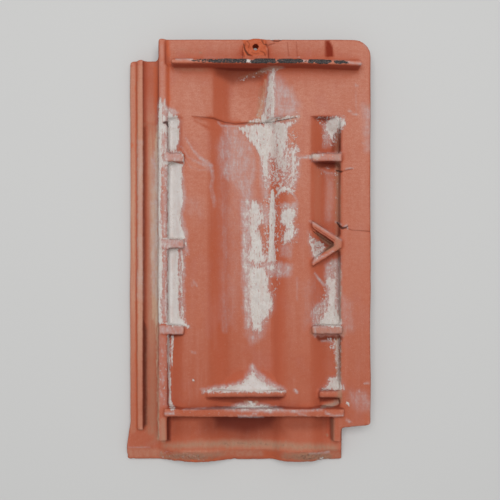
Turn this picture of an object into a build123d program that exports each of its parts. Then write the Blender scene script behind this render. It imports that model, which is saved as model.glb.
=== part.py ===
"""Interlocking clay roof tile, pressed between two dies and fired as one piece.

The tile lies on its weather face with the ribbed back up. X runs across the tile, from the
overlap's free edge to the underlap's. Y runs up the roof slope, from the tail to the head.
Z is height above the floor that the crests of the weather face stand on.
"""

import os

from build123d import *

# Lengths along the roof slope
tile_length = 415.0
head_lap_length = 75.3
lap_wall = 9.0
lap_wall_lean = 4.7
overlap_set_back = 17.0
underlap_set_back = 39.0
underlap_end_slant = 3.0
hook_set_back = 31.0
head_corner_radius = 17.0
edge_corner_radius = 3.0

# Widths across the back, in order from the overlap's free edge
strip_width = 7.2
hook_outer_draft = 1.3
hook_width = 4.5
hook_inner_draft = 3.4
groove_width = 11.8
rib_outer_draft = 2.6
rib_width = 8.3
rib_inner_draft = 1.1
rib_slope_width = 14.1
overlap_pan_width = 23.4
trough_fall_width = 23.0
trough_width = 40.5
trough_rise_width = 12.0
underlap_pan_width = 25.8
hollow_slope_width = 15.9
hollow_width = 11.9
hollow_wall_draft = 1.2
underlap_width = 29.4
tail_flare = 4.0
tail_flare_length = 24.0

# Heights and thicknesses of the pressed shell
roll_height = 12.0
shell = 12.0
strip_thickness = 9.2
hook_drop = 5.8
groove_thickness = 8.6
rib_slope_drop = 8.0
lap_depth = 15.6
lap_thickness = 8.8
rib_stand = 3.1
overlap_lap_recess = 3.0

# Weather face of the underlap and of the overlap's edge
crest_wall = 5.7
crest_outer_draft = 2.5
water_bar_width = 4.6
water_bar_draft = 1.9
water_bar_height = 6.5
edge_relief_run = 9.0
edge_relief_rise = 2.4
edge_relief_inset = 3.0

# Trough of the head lap, in line with the main trough's overlap side
head_trough_fall_width = 18.0
head_trough_width = 31.0
head_trough_rise_width = 10.0
head_trough_depth = 10.0

# Head bar, the upstand on the weather face that seats in the tail groove of the tile above
head_bar_set_back = 34.5
head_bar_width = 4.0
head_bar_draft = 1.5

# Nib that hooks over the batten
nib_set_back = 28.7
nib_width = 5.2
nib_height = 17.6
nib_back_draft = 3.0
nib_overlap_inset = 3.7
nib_underlap_inset = 12.0

# Sunk strip between the nib and the head edge
head_strip_depth = 3.4
head_strip_edge_depth = 0.4
head_strip_rib_bite = 1.6
head_strip_underlap_inset = 37.2
head_strip_splay = 6.0
head_strip_overlap_run_share = 1.0
head_strip_underlap_run_share = 1.4

# Nail boss on the sunk strip
boss_radius = 12.1
boss_set_back = 12.2
boss_stand = 4.6
boss_offset = 8.8
nail_radius = 2.9
nail_set_back = 9.0

# Webs across the rib slope and the hollow, in stations down the tile
web_count = 3
web_pitch = 83.6
web_head_station = 115.6
web_width = 7.6
web_stand = 4.1
web_rib_reach = 4.6
web_pan_reach = 0.7
chevron_spread = 19.0
chevron_arm_width = 7.2
draft_share = 0.09

# Bridges across the trough and the hollow, near the tail
bridge_set_back = 69.2
bridge_width = 6.2
bridge_stand = 2.0

# Tail bar, the groove behind it and the tail lip
tail_bar_set_back = 52.3
tail_bar_width = 7.2
tail_bar_stand = 7.6
tail_bar_rib_reach = 3.3
tail_bar_underlap_reach = 2.1
rib_set_back = 23.5
side_rib_set_back = 22.5
side_rib_width = 6.8
side_rib_draft = 2.8
side_wall_draft = 4.5
lip_set_back = 13.5
lip_run = 11.0
lip_rise = 4.0
nose_thickness = 5.0

# Corner radii of the pressed forms
pan_radius = 24.0
trough_foot_radius = 8.0
hollow_radius = 14.0
root_radius = 2.5
arris_radius = 1.4

# How far cutting and filling bodies run past the tile
overrun = 20.0

# Stations across the tile
chain = [
    strip_width, hook_outer_draft, hook_width, hook_inner_draft, groove_width,
    rib_outer_draft, rib_width, rib_inner_draft, rib_slope_width, overlap_pan_width,
    trough_fall_width, trough_width, trough_rise_width, underlap_pan_width,
    hollow_slope_width, hollow_width, hollow_wall_draft, underlap_width,
]
x_flare = -(sum(chain) + tail_flare) / 2
x_overlap = x_flare + tail_flare
stations = [x_overlap]
for width in chain:
    stations.append(stations[-1] + width)
(_, x_strip, x_hook_out, x_hook_in, x_groove, x_rib_foot, x_rib_out, x_rib_in, x_rib_corner,
 x_pan, x_fall, x_trough, x_rise, x_far_pan, x_far_slope, x_hollow, x_wall_foot, x_wall,
 x_underlap) = stations
x_rib = (x_rib_out + x_rib_in) / 2
x_crest = x_wall + crest_wall
x_channel = x_crest + crest_outer_draft
x_bar = x_underlap - water_bar_width
x_bar_tip = x_bar + water_bar_draft
x_relief = x_overlap + edge_relief_inset
x_side = x_wall - side_rib_width
x_narrow = x_trough - head_trough_fall_width
x_narrow_rise = x_trough + head_trough_width
x_narrow_far = x_narrow_rise + head_trough_rise_width
x_boss = x_trough + head_trough_width / 2 + boss_offset

# Stations along the tile
y_head = tile_length / 2
y_tail = -y_head
y_step = y_head - head_lap_length
y_weather_step = y_step + lap_wall
y_overlap = y_head - overlap_set_back
y_underlap = y_tail + underlap_set_back
y_hook = y_tail + hook_set_back
y_lip = y_tail + lip_set_back
y_lip_foot = y_lip + lip_run
y_nib = y_head - nib_set_back
y_nib_back = y_nib + nib_width + nib_back_draft
y_tail_bar = y_tail + tail_bar_set_back

# Levels above the floor
pan_back = roll_height + shell
trough_back = shell
corner_back = pan_back - rib_slope_drop
hook_back = strip_thickness + hook_drop
lap_back = lap_depth + lap_thickness
rib_back = lap_back + rib_stand
web_top = lap_back + web_stand
head_trough_back = lap_back - head_trough_depth
bar_tip = lap_depth - water_bar_height


def section(corners):
    """Closed outline from (first, second, corner radius) triples in its own plane."""
    points = [(first, second) for first, second, _ in corners]
    radii = [radius for _, _, radius in corners]
    return make_face(FilletPolyline(*points, radius=radii, close=True))


def at_station(outline, y):
    """An outline across the tile, stood up at a station along it."""
    return Plane.XZ.offset(-y) * outline


def run(outline, y_low, y_high):
    """An outline across the tile, run along it between two stations."""
    return extrude(at_station(outline, y_high), amount=y_high - y_low)


def across(corners, x_low, x_high):
    """An outline of (y, z, corner radius) triples, run across the tile."""
    return extrude(Plane.YZ.offset(x_low) * section(corners), x_high - x_low)


def upright(corners, z_low, z_high):
    """A plan outline of (x, y) corners, stood up between two heights."""
    return extrude(Plane.XY.offset(z_low) * make_face(Polyline(*corners, close=True)), z_high - z_low)


def bar(x_low, x_high, y_middle, width, top):
    """A transverse rib with drafted flanks that goes down through the shell."""
    half_top = width / 2
    half_foot = half_top + (top + overrun) * draft_share
    return across([
        (y_middle - half_foot, -overrun, 0),
        (y_middle + half_foot, -overrun, 0),
        (y_middle + half_top, top, arris_radius),
        (y_middle - half_top, top, arris_radius),
    ], x_low, x_high)


def trough_line(lift):
    """The back of pans, trough and hollow, from the hollow's floor to the rib's corner."""
    return [
        (x_hollow, trough_back + lift, hollow_radius),
        (x_far_slope, pan_back + lift, hollow_radius),
        (x_far_pan, pan_back + lift, pan_radius),
        (x_rise, trough_back + lift, trough_foot_radius),
        (x_trough, trough_back + lift, pan_radius),
        (x_fall, pan_back + lift, pan_radius),
        (x_pan, pan_back + lift, hollow_radius),
    ]


def main_body():
    """The tile's full width as pressed by the back die, from the hook's end to the head."""
    outline = [
        (x_overlap - overrun, -overrun, 0),
        (x_underlap + overrun, -overrun, 0),
        (x_underlap + overrun, lap_back, 0),
        (x_wall, lap_back, arris_radius),
        (x_wall_foot, trough_back, root_radius),
        *trough_line(0),
        (x_rib_corner, corner_back, root_radius),
        (x_rib_in, rib_back, arris_radius),
        (x_rib_out, rib_back, arris_radius),
        (x_rib_foot, groove_thickness, root_radius),
        (x_groove, groove_thickness, root_radius),
        (x_hook_in, hook_back, arris_radius),
        (x_hook_out, hook_back, arris_radius),
        (x_strip, strip_thickness, arris_radius),
        (x_overlap - overrun, strip_thickness, 0),
    ]
    return run(section(outline), y_hook, y_head)


def tail_outline(lift, strip_back):
    """The tail's back with its troughs lifted, beside an overlap strip of its own height."""
    return section([
        (x_flare - overrun, -overrun, 0),
        (x_underlap + overrun, -overrun, 0),
        (x_underlap + overrun, trough_back + lift, 0),
        *trough_line(lift),
        (x_rib_corner, corner_back + lift, root_radius),
        (x_rib_foot, strip_back, root_radius),
        (x_flare - overrun, strip_back, 0),
    ])


def tail_body():
    """The tail: a groove, a lip that rises behind it and a nose that falls away to the edge."""
    return loft([
        at_station(tail_outline(0, strip_thickness), y_hook),
        at_station(tail_outline(0, strip_thickness), y_lip_foot),
        at_station(tail_outline(lip_rise, strip_thickness), y_lip),
        at_station(tail_outline(nose_thickness - shell, nose_thickness), y_tail),
    ], ruled=True)


def tail_ribs():
    """The overlap rib's end and the side rib, which close the tail groove at its two ends."""
    rib_end = run(section([
        (x_rib_foot, -overrun, 0),
        (x_rib_corner, -overrun, 0),
        (x_rib_corner, corner_back, 0),
        (x_rib_in, rib_back, arris_radius),
        (x_rib_out, rib_back, arris_radius),
        (x_rib_foot, groove_thickness, 0),
    ]), y_tail + rib_set_back, y_hook)
    side_rib = run(section([
        (x_crest + overrun, -overrun, 0),
        (x_crest + overrun, lap_back, 0),
        (x_side, lap_back, arris_radius),
        (x_side - side_rib_draft, trough_back, 0),
        (x_side - side_rib_draft, -overrun, 0),
    ]), y_tail + side_rib_set_back, y_tail_bar)
    return rib_end + side_rib


def head_lap():
    """The thick head lap, level with the underlap, with its own narrow trough."""
    outline = section([
        (x_rib, -overrun, 0),
        (x_crest, -overrun, 0),
        (x_crest, lap_back, 0),
        (x_narrow_far, lap_back, hollow_radius),
        (x_narrow_rise, head_trough_back, hollow_radius),
        (x_trough, head_trough_back, pan_radius),
        (x_narrow, lap_back, hollow_radius),
        (x_rib, lap_back, 0),
    ])
    y_foot = y_step - lap_wall_lean
    foot_level = lap_back - pan_back + trough_back
    lean = lap_wall_lean / (lap_back - foot_level)
    wall = across([
        (y_head, -overrun, 0),
        (y_head, lap_back + overrun, 0),
        (y_step + lean * overrun, lap_back + overrun, 0),
        (y_foot - lean * (foot_level + overrun), -overrun, 0),
    ], x_overlap, x_underlap)
    level = across([
        (y_nib, -overrun, 0),
        (y_head, -overrun, 0),
        (y_head, lap_back, 0),
        (y_nib, lap_back, 0),
    ], x_rib, x_crest)
    return (run(outline, y_foot - lap_wall, y_head) & wall) + level


def nib():
    """The batten nib: upright towards the tail, drafted towards the head."""
    top = lap_back + nib_height
    slope = nib_back_draft / nib_height
    y_crown = y_nib + nib_width
    return across([
        (y_nib, -overrun, 0),
        (y_nib, top, arris_radius),
        (y_crown, top, arris_radius),
        (y_crown + slope * (top + overrun), -overrun, 0),
    ], x_rib_corner + nib_overlap_inset, x_underlap - nib_underlap_inset)


def head_strip():
    """What is sunk between the nib and the head edge: deepest along the nib, with raked ends."""
    x_low = x_rib_in - head_strip_rib_bite

    def rake(depth, x_high):
        return section([
            (x_low + depth * head_strip_overlap_run_share, lap_back - depth, 0),
            (x_high - depth * head_strip_underlap_run_share, lap_back - depth, 0),
            (x_high, lap_back, 0),
            (x_high, lap_back + overrun, 0),
            (x_low, lap_back + overrun, 0),
            (x_low, lap_back, 0),
        ])
    x_foot = x_underlap - head_strip_underlap_inset
    return loft([
        at_station(rake(head_strip_depth, x_foot), y_nib + nib_width / 2),
        at_station(rake(head_strip_edge_depth, x_foot - head_strip_splay), y_head),
    ], ruled=True)


def nail_boss():
    """The lump round the nail hole, from the head edge back to the nib."""
    y_boss = y_head - boss_set_back
    neck_length = y_boss - y_nib
    disc = Pos(x_boss, y_boss) * Circle(boss_radius)
    neck = Pos(x_boss, y_boss - neck_length / 2) * Rectangle(boss_radius * 2, neck_length)
    return extrude(disc + neck, lap_back + boss_stand)


def webs():
    """Cross webs on the rib slope and in the hollow, with a chevron at the hollow's middle station."""
    y_first = y_head - web_head_station
    y_stations = [y_first - web_pitch * step for step in range(web_count)]
    x_slope = (x_rib_corner - web_rib_reach, x_pan + web_pan_reach)
    x_span = (x_far_slope + web_pan_reach, x_wall + web_pan_reach)
    bars = [bar(*x_slope, y, web_width, web_top) for y in y_stations]
    bars += [bar(*x_span, y, web_width, web_top) for y in (y_stations[0], y_stations[-1])]
    y_tip = y_stations[1]
    x_end, x_tip = x_span
    half_arm = chevron_arm_width / 2
    inner_share = (chevron_spread - half_arm) / chevron_spread
    chevron = upright([
        (x_end, y_tip + chevron_spread + half_arm),
        (x_tip, y_tip + half_arm),
        (x_tip, y_tip - half_arm),
        (x_end, y_tip - chevron_spread - half_arm),
        (x_end, y_tip - chevron_spread + half_arm),
        (x_end + (x_tip - x_end) * inner_share, y_tip),
        (x_end, y_tip + chevron_spread - half_arm),
    ], -overrun, web_top)
    return bars + [fillet(chevron.edges().group_by(Axis.Z)[-1], arris_radius)]


def tail_bars():
    """Bridges over trough and hollow, and the long bar that closes the tail groove."""
    y_bridge = y_tail + bridge_set_back
    bridge_top = pan_back + bridge_stand
    return [
        bar(x_fall, x_far_pan, y_bridge, bridge_width, bridge_top),
        bar(x_far_slope + hollow_slope_width / 2, x_wall, y_bridge, bridge_width, bridge_top),
        bar(x_rib_corner - tail_bar_rib_reach, x_wall + tail_bar_underlap_reach,
            y_tail_bar, tail_bar_width, lap_back + tail_bar_stand),
    ]


def plan():
    """The tile seen from the back: stepped at the overlap's head end and flared at its tail end."""
    outline = [
        (x_rib_foot, y_head, 0),
        (x_rib_foot, y_overlap, edge_corner_radius),
        (x_overlap, y_overlap, edge_corner_radius),
        (x_overlap, y_lip + tail_flare_length, 0),
        (x_flare, y_lip, tail_flare_length),
        (x_flare, y_tail, edge_corner_radius),
        (x_underlap, y_tail, 0),
        (x_underlap, y_head, head_corner_radius),
    ]
    nib_top = lap_back + nib_height
    return extrude(Plane.XY.offset(-overrun) * section(outline), nib_top + overrun * 2)


def underlap_notch():
    """What is missing beside the tail, up to the underlap's slanted end."""
    slope = side_wall_draft / lap_back
    side = run(section([
        (x_wall + slope * (lap_back + overrun), -overrun, 0),
        (x_underlap + overrun, -overrun, 0),
        (x_underlap + overrun, lap_back + overrun, 0),
        (x_wall - slope * overrun, lap_back + overrun, 0),
    ]), y_tail - overrun, y_underlap + overrun)
    end = upright([
        (x_side, y_tail - overrun),
        (x_underlap + overrun, y_tail - overrun),
        (x_underlap + overrun, y_underlap),
        (x_underlap, y_underlap),
        (x_wall, y_underlap - underlap_end_slant),
        (x_side, y_underlap - underlap_end_slant),
    ], -overrun, lap_back + overrun)
    return side & end


def weather_die():
    """Below the weather face of pans, rolls and underlap."""
    return run(section([
        (x_relief - edge_relief_run, -overrun, 0),
        (x_relief - edge_relief_run, edge_relief_rise, 0),
        (x_relief, 0, root_radius),
        (x_rib, 0, hollow_radius),
        (x_pan, roll_height, hollow_radius),
        (x_fall, roll_height, pan_radius),
        (x_trough, 0, pan_radius),
        (x_rise, 0, pan_radius),
        (x_far_pan, roll_height, trough_foot_radius),
        (x_far_slope, roll_height, hollow_radius),
        (x_hollow, 0, hollow_radius),
        (x_crest, 0, root_radius),
        (x_channel, lap_depth, root_radius),
        (x_bar, lap_depth, root_radius),
        (x_bar_tip, bar_tip, arris_radius),
        (x_underlap + overrun, bar_tip, 0),
        (x_underlap + overrun, -overrun, 0),
    ]), y_tail - overrun, y_weather_step)


def head_die():
    """Below the weather face of the head lap, with the head bar left standing."""
    rib_crest = head_trough_back - lap_thickness
    lap = run(section([
        (x_overlap - overrun, -overrun, 0),
        (x_overlap - overrun, overlap_lap_recess, 0),
        (x_rib_foot, overlap_lap_recess, hollow_radius),
        (x_pan, lap_depth, hollow_radius),
        (x_narrow, lap_depth, hollow_radius),
        (x_trough, rib_crest, pan_radius),
        (x_narrow_rise, rib_crest, hollow_radius),
        (x_narrow_far, lap_depth, hollow_radius),
        (x_bar, lap_depth, root_radius),
        (x_bar_tip, bar_tip, arris_radius),
        (x_underlap + overrun, bar_tip, 0),
        (x_underlap + overrun, -overrun, 0),
    ]), y_weather_step, y_head + overrun)
    strip = upright([
        (x_narrow, y_nib_back),
        (x_bar, y_nib_back),
        (x_bar, y_head + overrun),
        (x_narrow, y_head + overrun),
    ], -overrun, lap_depth)
    y_bar = y_head - head_bar_set_back
    half_tip = head_bar_width / 2
    half_foot = half_tip + head_bar_draft
    head_bar = across([
        (y_bar - half_tip, bar_tip, arris_radius),
        (y_bar + half_tip, bar_tip, arris_radius),
        (y_bar + half_foot, lap_depth, 0),
        (y_bar - half_foot, lap_depth, 0),
    ], x_pan, x_bar)
    return lap + strip - head_bar


def nail_hole():
    """The nail hole, through the boss and the shell."""
    return Pos(x_boss, y_head - nail_set_back) * Cylinder(nail_radius, (lap_back + overrun) * 2)


def roof_tile():
    """The pressed tile: the back's forms, trimmed to the plan and cut by the weather face."""
    back = main_body() + tail_body() + tail_ribs() + head_lap()
    back = back - head_strip() + nib() + nail_boss() + webs() + tail_bars()
    tile = back & plan()
    return tile - underlap_notch() - weather_die() - head_die() - nail_hole()


os.makedirs("parts", exist_ok=True)
export_step(roof_tile(), "parts/roof_tile.step")
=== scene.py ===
"""Dresses the packed clay roof tile: hand-pressed surface, damage, tar, dirt and lime, with painted shade and
painted light in its colour.
"""

import bmesh
import bpy
import numpy as np
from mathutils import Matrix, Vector


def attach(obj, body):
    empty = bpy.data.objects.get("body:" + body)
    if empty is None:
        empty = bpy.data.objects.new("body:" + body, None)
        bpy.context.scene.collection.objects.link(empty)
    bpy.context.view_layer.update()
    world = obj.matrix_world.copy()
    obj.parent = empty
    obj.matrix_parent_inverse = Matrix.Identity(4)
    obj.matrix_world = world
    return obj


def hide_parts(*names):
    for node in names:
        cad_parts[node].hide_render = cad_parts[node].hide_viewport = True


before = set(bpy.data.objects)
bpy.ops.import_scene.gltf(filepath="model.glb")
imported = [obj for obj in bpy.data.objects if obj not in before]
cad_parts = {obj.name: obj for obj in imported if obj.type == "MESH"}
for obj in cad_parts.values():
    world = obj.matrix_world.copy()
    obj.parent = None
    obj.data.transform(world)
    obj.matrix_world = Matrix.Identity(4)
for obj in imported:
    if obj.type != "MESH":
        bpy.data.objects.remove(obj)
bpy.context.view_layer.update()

# Camera, straight above the tile's back, in a square frame
FRAME_SIDE = 500
LENS_MM = 50.4
SENSOR_MM = 36.0
CAMERA_STAND = Vector((0.0029, 0.00205, 0.706))
FOCUS = LENS_MM / SENSOR_MM * FRAME_SIDE

# Floor, lamp and sky, in metres and watts
FLOOR_SIDE = 4
LAMP_SIDES = (1.3, 1.1)
LAMP_STAND = (0.0, 0.34, 1.72)
LAMP_WATTS = 22.5
SKY_STRENGTH = 0.42

# The skin's mesh: its voxel in metres, facings as how far a face looks up, from -1 to 1, and the reach
# around a fine line in the square frame
PRESS_VOXEL = 0.00155
PRESS_SMOOTHING = 3
PRESS_SOFTNESS = 0.5
WELD_DISTANCE = 0.00001
SKIN_TRIANGLES = 142500
WEATHER_FACING = -0.25
WEATHER_THINNING = 8.0
BACK_FACING = -0.1
FINE_REACH = 2.0
FINE_CUTS = 2
BEND_SCALE = 0.72
BEND_ROUNDS = 2

# Pressed and fired surface, in metres
WARP_DEPTH = 0.00032
LUMP_DEPTH = 0.00012
GRAIN_DEPTH = 0.000045
SIDEWAYS_DRIFT = 0.00035
NIB_SAG = 0.0016
BOSS_ROUGHNESS = 0.0017
NOSE_CHIPPING = 0.0016
NIB_CHIPPING = 0.0007
CRACK_DEPTH = 0.0010
SCORE_DEPTH = 0.0006
CRUMBLE_DEPTH = 0.0005
CHEVRON_RIDGE_HEIGHT = 0.0016
STEP_HOLLOW = 0.0013
RAKE_HOLLOW = 0.0016
WEB_TOP = 0.0289
HOOK_MIDDLE = -0.1079
HOOK_SPREAD = 0.0008
NAIL_AXIS = (0.0083, 0.1985)
NAIL_RADIUS = 0.0031
NAIL_FOOT_RADIUS = 0.0013
NAIL_REACH = 0.0052
HIDDEN_SKY_CELL = 0.001
HIDDEN_SKY_STEPS = (1, 2, 3, 4, 6, 8, 11, 15, 20, 26)
LIME_BUILD_UP = 0.00024
TAR_BUILD_UP = 0.00035
SLOPE_SOFTENING = 12

# Sizes of the lumps on the surface, in metres
WARP_SIZE = 0.05
LUMP_SIZE = 0.012
GRAIN_SIZE = 0.0035
LIME_LUMP_SIZE = 0.004
TAR_LUMP_SIZE = 0.003
CRUMBLE_SIZE = 0.004
BOSS_LUMP_SIZE = 0.0045
NOSE_CHIP_SIZE = 0.006
NIB_CHIP_SIZE = 0.005
SIDEWAYS_SIZE = 0.04
FRAY_SIZES = (0.006, 0.002)

# Lumps as numbers from -1 to 1: how much of lime and tar lies evenly and how much follows the lumps, and how
# high a lump is before a chip comes off it
LIME_EVEN = 0.75
LIME_LUMPY = 0.6
TAR_EVEN = 0.5
TAR_LUMPY = 0.8
NOSE_CHIPS_FROM = 0.1
NIB_CHIPS_FROM = 0.25

# Finer lumps on the lumps: how many times smaller, their share, and the step to their seed
FINER_LUMPS = ((2.1, 0.5, 101), (4.3, 0.25, 202))
ROUGH_LUMPS_SUM = 1.4

# Factors that mix the numbers of a cell and a seed
CELL_FACTORS = (73856093, 19349663, 83492791)
SEED_FACTOR = 2654435761
MIXING_FACTORS = (1274126177, 2246822519)
LOW_BITS = 0xFFFFFFFF
NUMBER_BITS = 0xFFFFFF

# Places and levels on the tile, in metres: where a change begins and where it is complete
TAIL_TO_HEAD = (-0.21, 0.2)
NOSE_EDGE = (-0.199, -0.2055)
NIB_TAIL_SIDE = (0.1755, 0.1775)
NIB_HEAD_SIDE = (0.1905, 0.1885)
NIB_FOOT = (0.0235, 0.027)
NIB_SAG_ACROSS = (0.04, 0.115)
CROWN_LEVEL = (0.037, 0.040)
UNDER_THE_CROWN = (0.041, 0.0395)
WEB_FOOT = (0.0262, 0.027)
BOSS_FOOT = (0.022, 0.026)
HOOK_FOOT = (0.0102, 0.0125)
HOOK_SIDE = (0.005, 0.0042)
HOOK_CORE = 0.002
NAIL_DEPTH = (0.011, 0.021)
PAINTED_SHADE_LEVEL = (0.0275, 0.0258)
BEND_LIMITS = (0.00006, 0.0003)

# Facings and shares of hidden sky: where a change begins and where it is complete, and the least dust and
# the share of painted corner shade that a break lacks
IN_SIGHT = (-0.04, 0.08)
UPWARD_FACING = (0.0, 0.3)
LEVEL_FACING = (0.3, 0.7)
CROWN_FACING = (0.2, 0.5)
CRUMBLY_FACING = (-0.3, 0.2)
HOOK_FACING = (-0.4, -0.1)
SLOPE_START = (0.985, 0.8)
SLOPE_END = (0.3, 0.6)
WALL_START = (0.6, 0.25)
WALL_END = (-0.5, 0.0)
DUST_FACING = (0.9, 0.995)
HIDDEN_SKY_FACING = (-0.3, 0.0)
WEATHERED_FACING = (0.1, 0.5)
HIDDEN_SKY_TOP_FACING = 0.2
OPEN_SKY = (0.5, 0.05)
DUST_AT_TAIL = 0.06
BREAKS_WITHOUT_CORNER_SHADE = 0.4
NAIL_WALL_FACING = 0.75

# How the edges of deposits fray and fade, in the square frame
FRAY_STRETCH = (1.0, 0.2, 1.0)
FRAY_ACROSS = (0.6, 0.9)
FRAY_DOWN = (0.9, 1.0)
WAVERING_SHARE = 0.35
TAR_FRAY_SHARE = 0.6
HALO_STRENGTH = 0.42
HALO_REACH = 2.4
STREAK_FADE = 1.0
TAR_FADE = 0.8
CRACK_FADE = 0.35
SCORE_FADE = 0.4
SCORE_STRENGTH = 0.7
STEP_SHADOW_FADE = 0.6
GROOVE_FADE = 0.5
RAKE_SHADE_FADE = (-0.6, 1.6)
RAKE_HOLLOW_FADE = (-1.0, 3.0)
STEP_HOLLOW_FADE = (-0.5, 4.0)
WEB_TOP_FADE = 0.5
CRUMBLY_FADE = 1.0
RIDGE_FADE = 0.8
BOSS_FADE = (0, 2)
FAR_AWAY = 99.0

# Loose lime crumbs, in metres
CRUMBS_PER_SQUARE_METRE = 160000.0
SMALLEST_CRUMB = 0.00018
LARGEST_CRUMB = 0.0006
CRUMB_SPACING = 0.0012
CRUMB_SHAPE = (1.0, 0.8, 0.55)
CRUMBS_FROM_LIME = 0.35

# Lime that settled against a bar or a step, in metres: the side it lies against, the middle across, the
# half width, the level there and how steeply it falls away, below zero towards the tail, and to both sides
LIME_DRIFTS = {
    "above the middle bridge": (-0.1352, 0.0050, 0.036, 0.0252, 0.62, 0.17),
    "above the tail bar": (-0.1516, 0.0040, 0.036, 0.0262, 0.75, 0.15),
    "above the far bridge": (-0.1352, 0.0860, 0.016, 0.0225, 0.80, 0.45),
    "above the far end of the tail bar": (-0.1516, 0.0840, 0.016, 0.0225, 0.70, 0.30),
    "above the third far web": (-0.0715, 0.0850, 0.016, 0.0215, 0.40, 0.45),
    "below the head lap": (0.1300, 0.0890, 0.014, 0.0225, -0.60, 0.55),
    "against the head step": (0.1320, 0.0275, 0.011, 0.0225, -0.85, 0.90),
}
DRIFT_ROUGHNESS = 0.0004
DRIFT_FACING = -0.2
DRIFT_FLOOR = 0.004
DRIFT_OVERLAP = 0.001
DRIFT_TOP_FADE = (0.0004, -0.0002)

# From where to where the nib's crown hides the head strip, in metres along the tile
NIB_SHELTER = (0.1843, 0.1898)
NIB_SHELTER_FADE = 0.0008

# Thick lime, as outlines in the square frame: strength, fade at the edge, corners; a strength above 1.06 also
# paints the lime whiter, as painted light where it lies in shade
LIME_CRUSTS = {
    "fan below the head lap": (0.92, 2.2, [
        (238, 127.5), (247, 125.8), (265, 124.6), (283, 122.2), (297, 120.4), (292, 124), (288, 127),
        (287, 137), (287, 149), (282, 153), (277, 152), (274, 159), (271, 158), (269, 153), (268, 166),
        (264, 166), (261, 160), (258, 152), (254, 146), (248, 139), (243, 132)]),
    "right foot of the fan": (0.66, 3.4, [
        (274, 150), (289, 148), (289, 166), (284, 172), (278, 169), (274, 161)]),
    "broad run in the trough": (1.05, 4.0, [
        (250, 201), (254, 199.5), (258, 202), (261.5, 207), (262.6, 218), (261, 223), (257.5, 226),
        (257, 232), (260, 237), (262, 244), (263, 254), (266, 258), (263.5, 264), (266, 270), (268, 277),
        (268, 290), (272.6, 296), (272, 308), (268, 316), (262, 322), (261, 328), (257, 333), (254, 331),
        (252, 322), (250, 308), (248.6, 290), (248.6, 270), (249.6, 262), (248.6, 254), (250, 246),
        (251, 236), (250.4, 225), (250, 214)]),
    "far patch in the trough": (0.95, 3.0, [
        (281, 211), (288, 209), (295, 210), (295, 215), (293, 222), (295, 228), (296, 233), (292, 240),
        (286, 243), (282, 241), (283, 236), (287, 231), (286, 226), (281, 222), (280, 216)]),
    "clump beside the long rib": (1.2, 2.0, [
        (168, 113), (169.4, 111), (172, 113.6), (174, 116), (177.4, 118), (179.6, 122), (178, 128),
        (179.4, 138), (176.4, 151), (167.6, 151), (167.6, 135), (167.6, 120)]),
    "clump on the long rib": (0.9, 2.0, [
        (158.4, 104), (161, 100), (163, 110), (166, 118), (163, 121), (166.6, 127), (167.6, 133),
        (164, 136), (162, 134), (161.4, 150), (158.4, 150)]),
    "white around the first web": (0.86, 1.6, [
        (158.4, 147), (163.4, 148), (163.2, 164), (166, 166), (161, 170), (158.4, 172)]),
    "upper run beside the long rib": (1.3, 2.0, [
        (167.6, 164), (182, 164), (181, 180), (183, 195), (183, 206), (180, 213), (180.6, 224), (184, 233),
        (186, 239), (167.6, 239)]),
    "lower run beside the long rib": (1.3, 1.8, [
        (167.8, 249), (178.6, 249), (178.4, 275), (178, 300), (179.6, 317), (187, 325.6), (180, 326),
        (167.6, 325), (167.6, 300)]),
    "outer part of the lower run": (0.62, 1.6, [
        (179, 249), (183.6, 250), (183.8, 275), (183, 296), (184, 318), (186, 325), (180, 325),
        (179.4, 300)]),
    "blob under the head lap": (1.0, 1.8, [
        (325, 129), (325.6, 124), (329, 121), (333, 117.5), (338, 115.4), (343, 118), (345, 122.6),
        (343, 127), (338, 130), (335, 134), (332.6, 141), (329.6, 139.5), (328.6, 134)]),
    "floor of the third pocket": (1.06, 2.6, [
        (326, 281), (331, 276), (336, 279), (335.4, 292), (335.4, 304), (338, 315), (341.6, 326.6),
        (317, 326.6), (321, 319), (327, 312), (328.6, 300), (328.4, 290)]),
    "spread of the third pocket": (0.52, 3.0, [
        (312, 310), (318, 304), (325, 303), (330, 312), (326, 326), (314, 326)]),
    "floor of the fourth pocket": (1.0, 2.2, [
        (328, 379), (334, 377.6), (339, 376), (341, 383), (343, 387), (344, 389.6), (321, 389.6),
        (325, 386.6), (328, 384)]),
}

# Where thick lime wore off again: strength, fade at the edge, corners
LIME_GAPS = {
    "band across the runs": (0.5, 2.0, [(244, 262), (274, 261.4), (274, 267), (244, 268.4)]),
}

# Thick lime against a bar: strength, fade at the edge, the highest level in metres, corners; a strength above
# 1.06 also paints the lime whiter, as painted light
LIME_DRIFT_TOPS = {
    "above the middle bridge": (1.25, 4.0, 0.0259, [
        (252.6, 371), (256, 376.4), (262, 381.6), (270, 386), (285, 392), (203, 392), (217, 388),
        (231, 386.2), (242, 383), (249, 377.6)]),
    "above the tail bar": (1.1, 2.2, 0.0280, [
        (224, 411), (237, 406.4), (250, 405), (264, 405.4), (280, 409.4), (284, 412), (222, 412)]),
}

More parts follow.
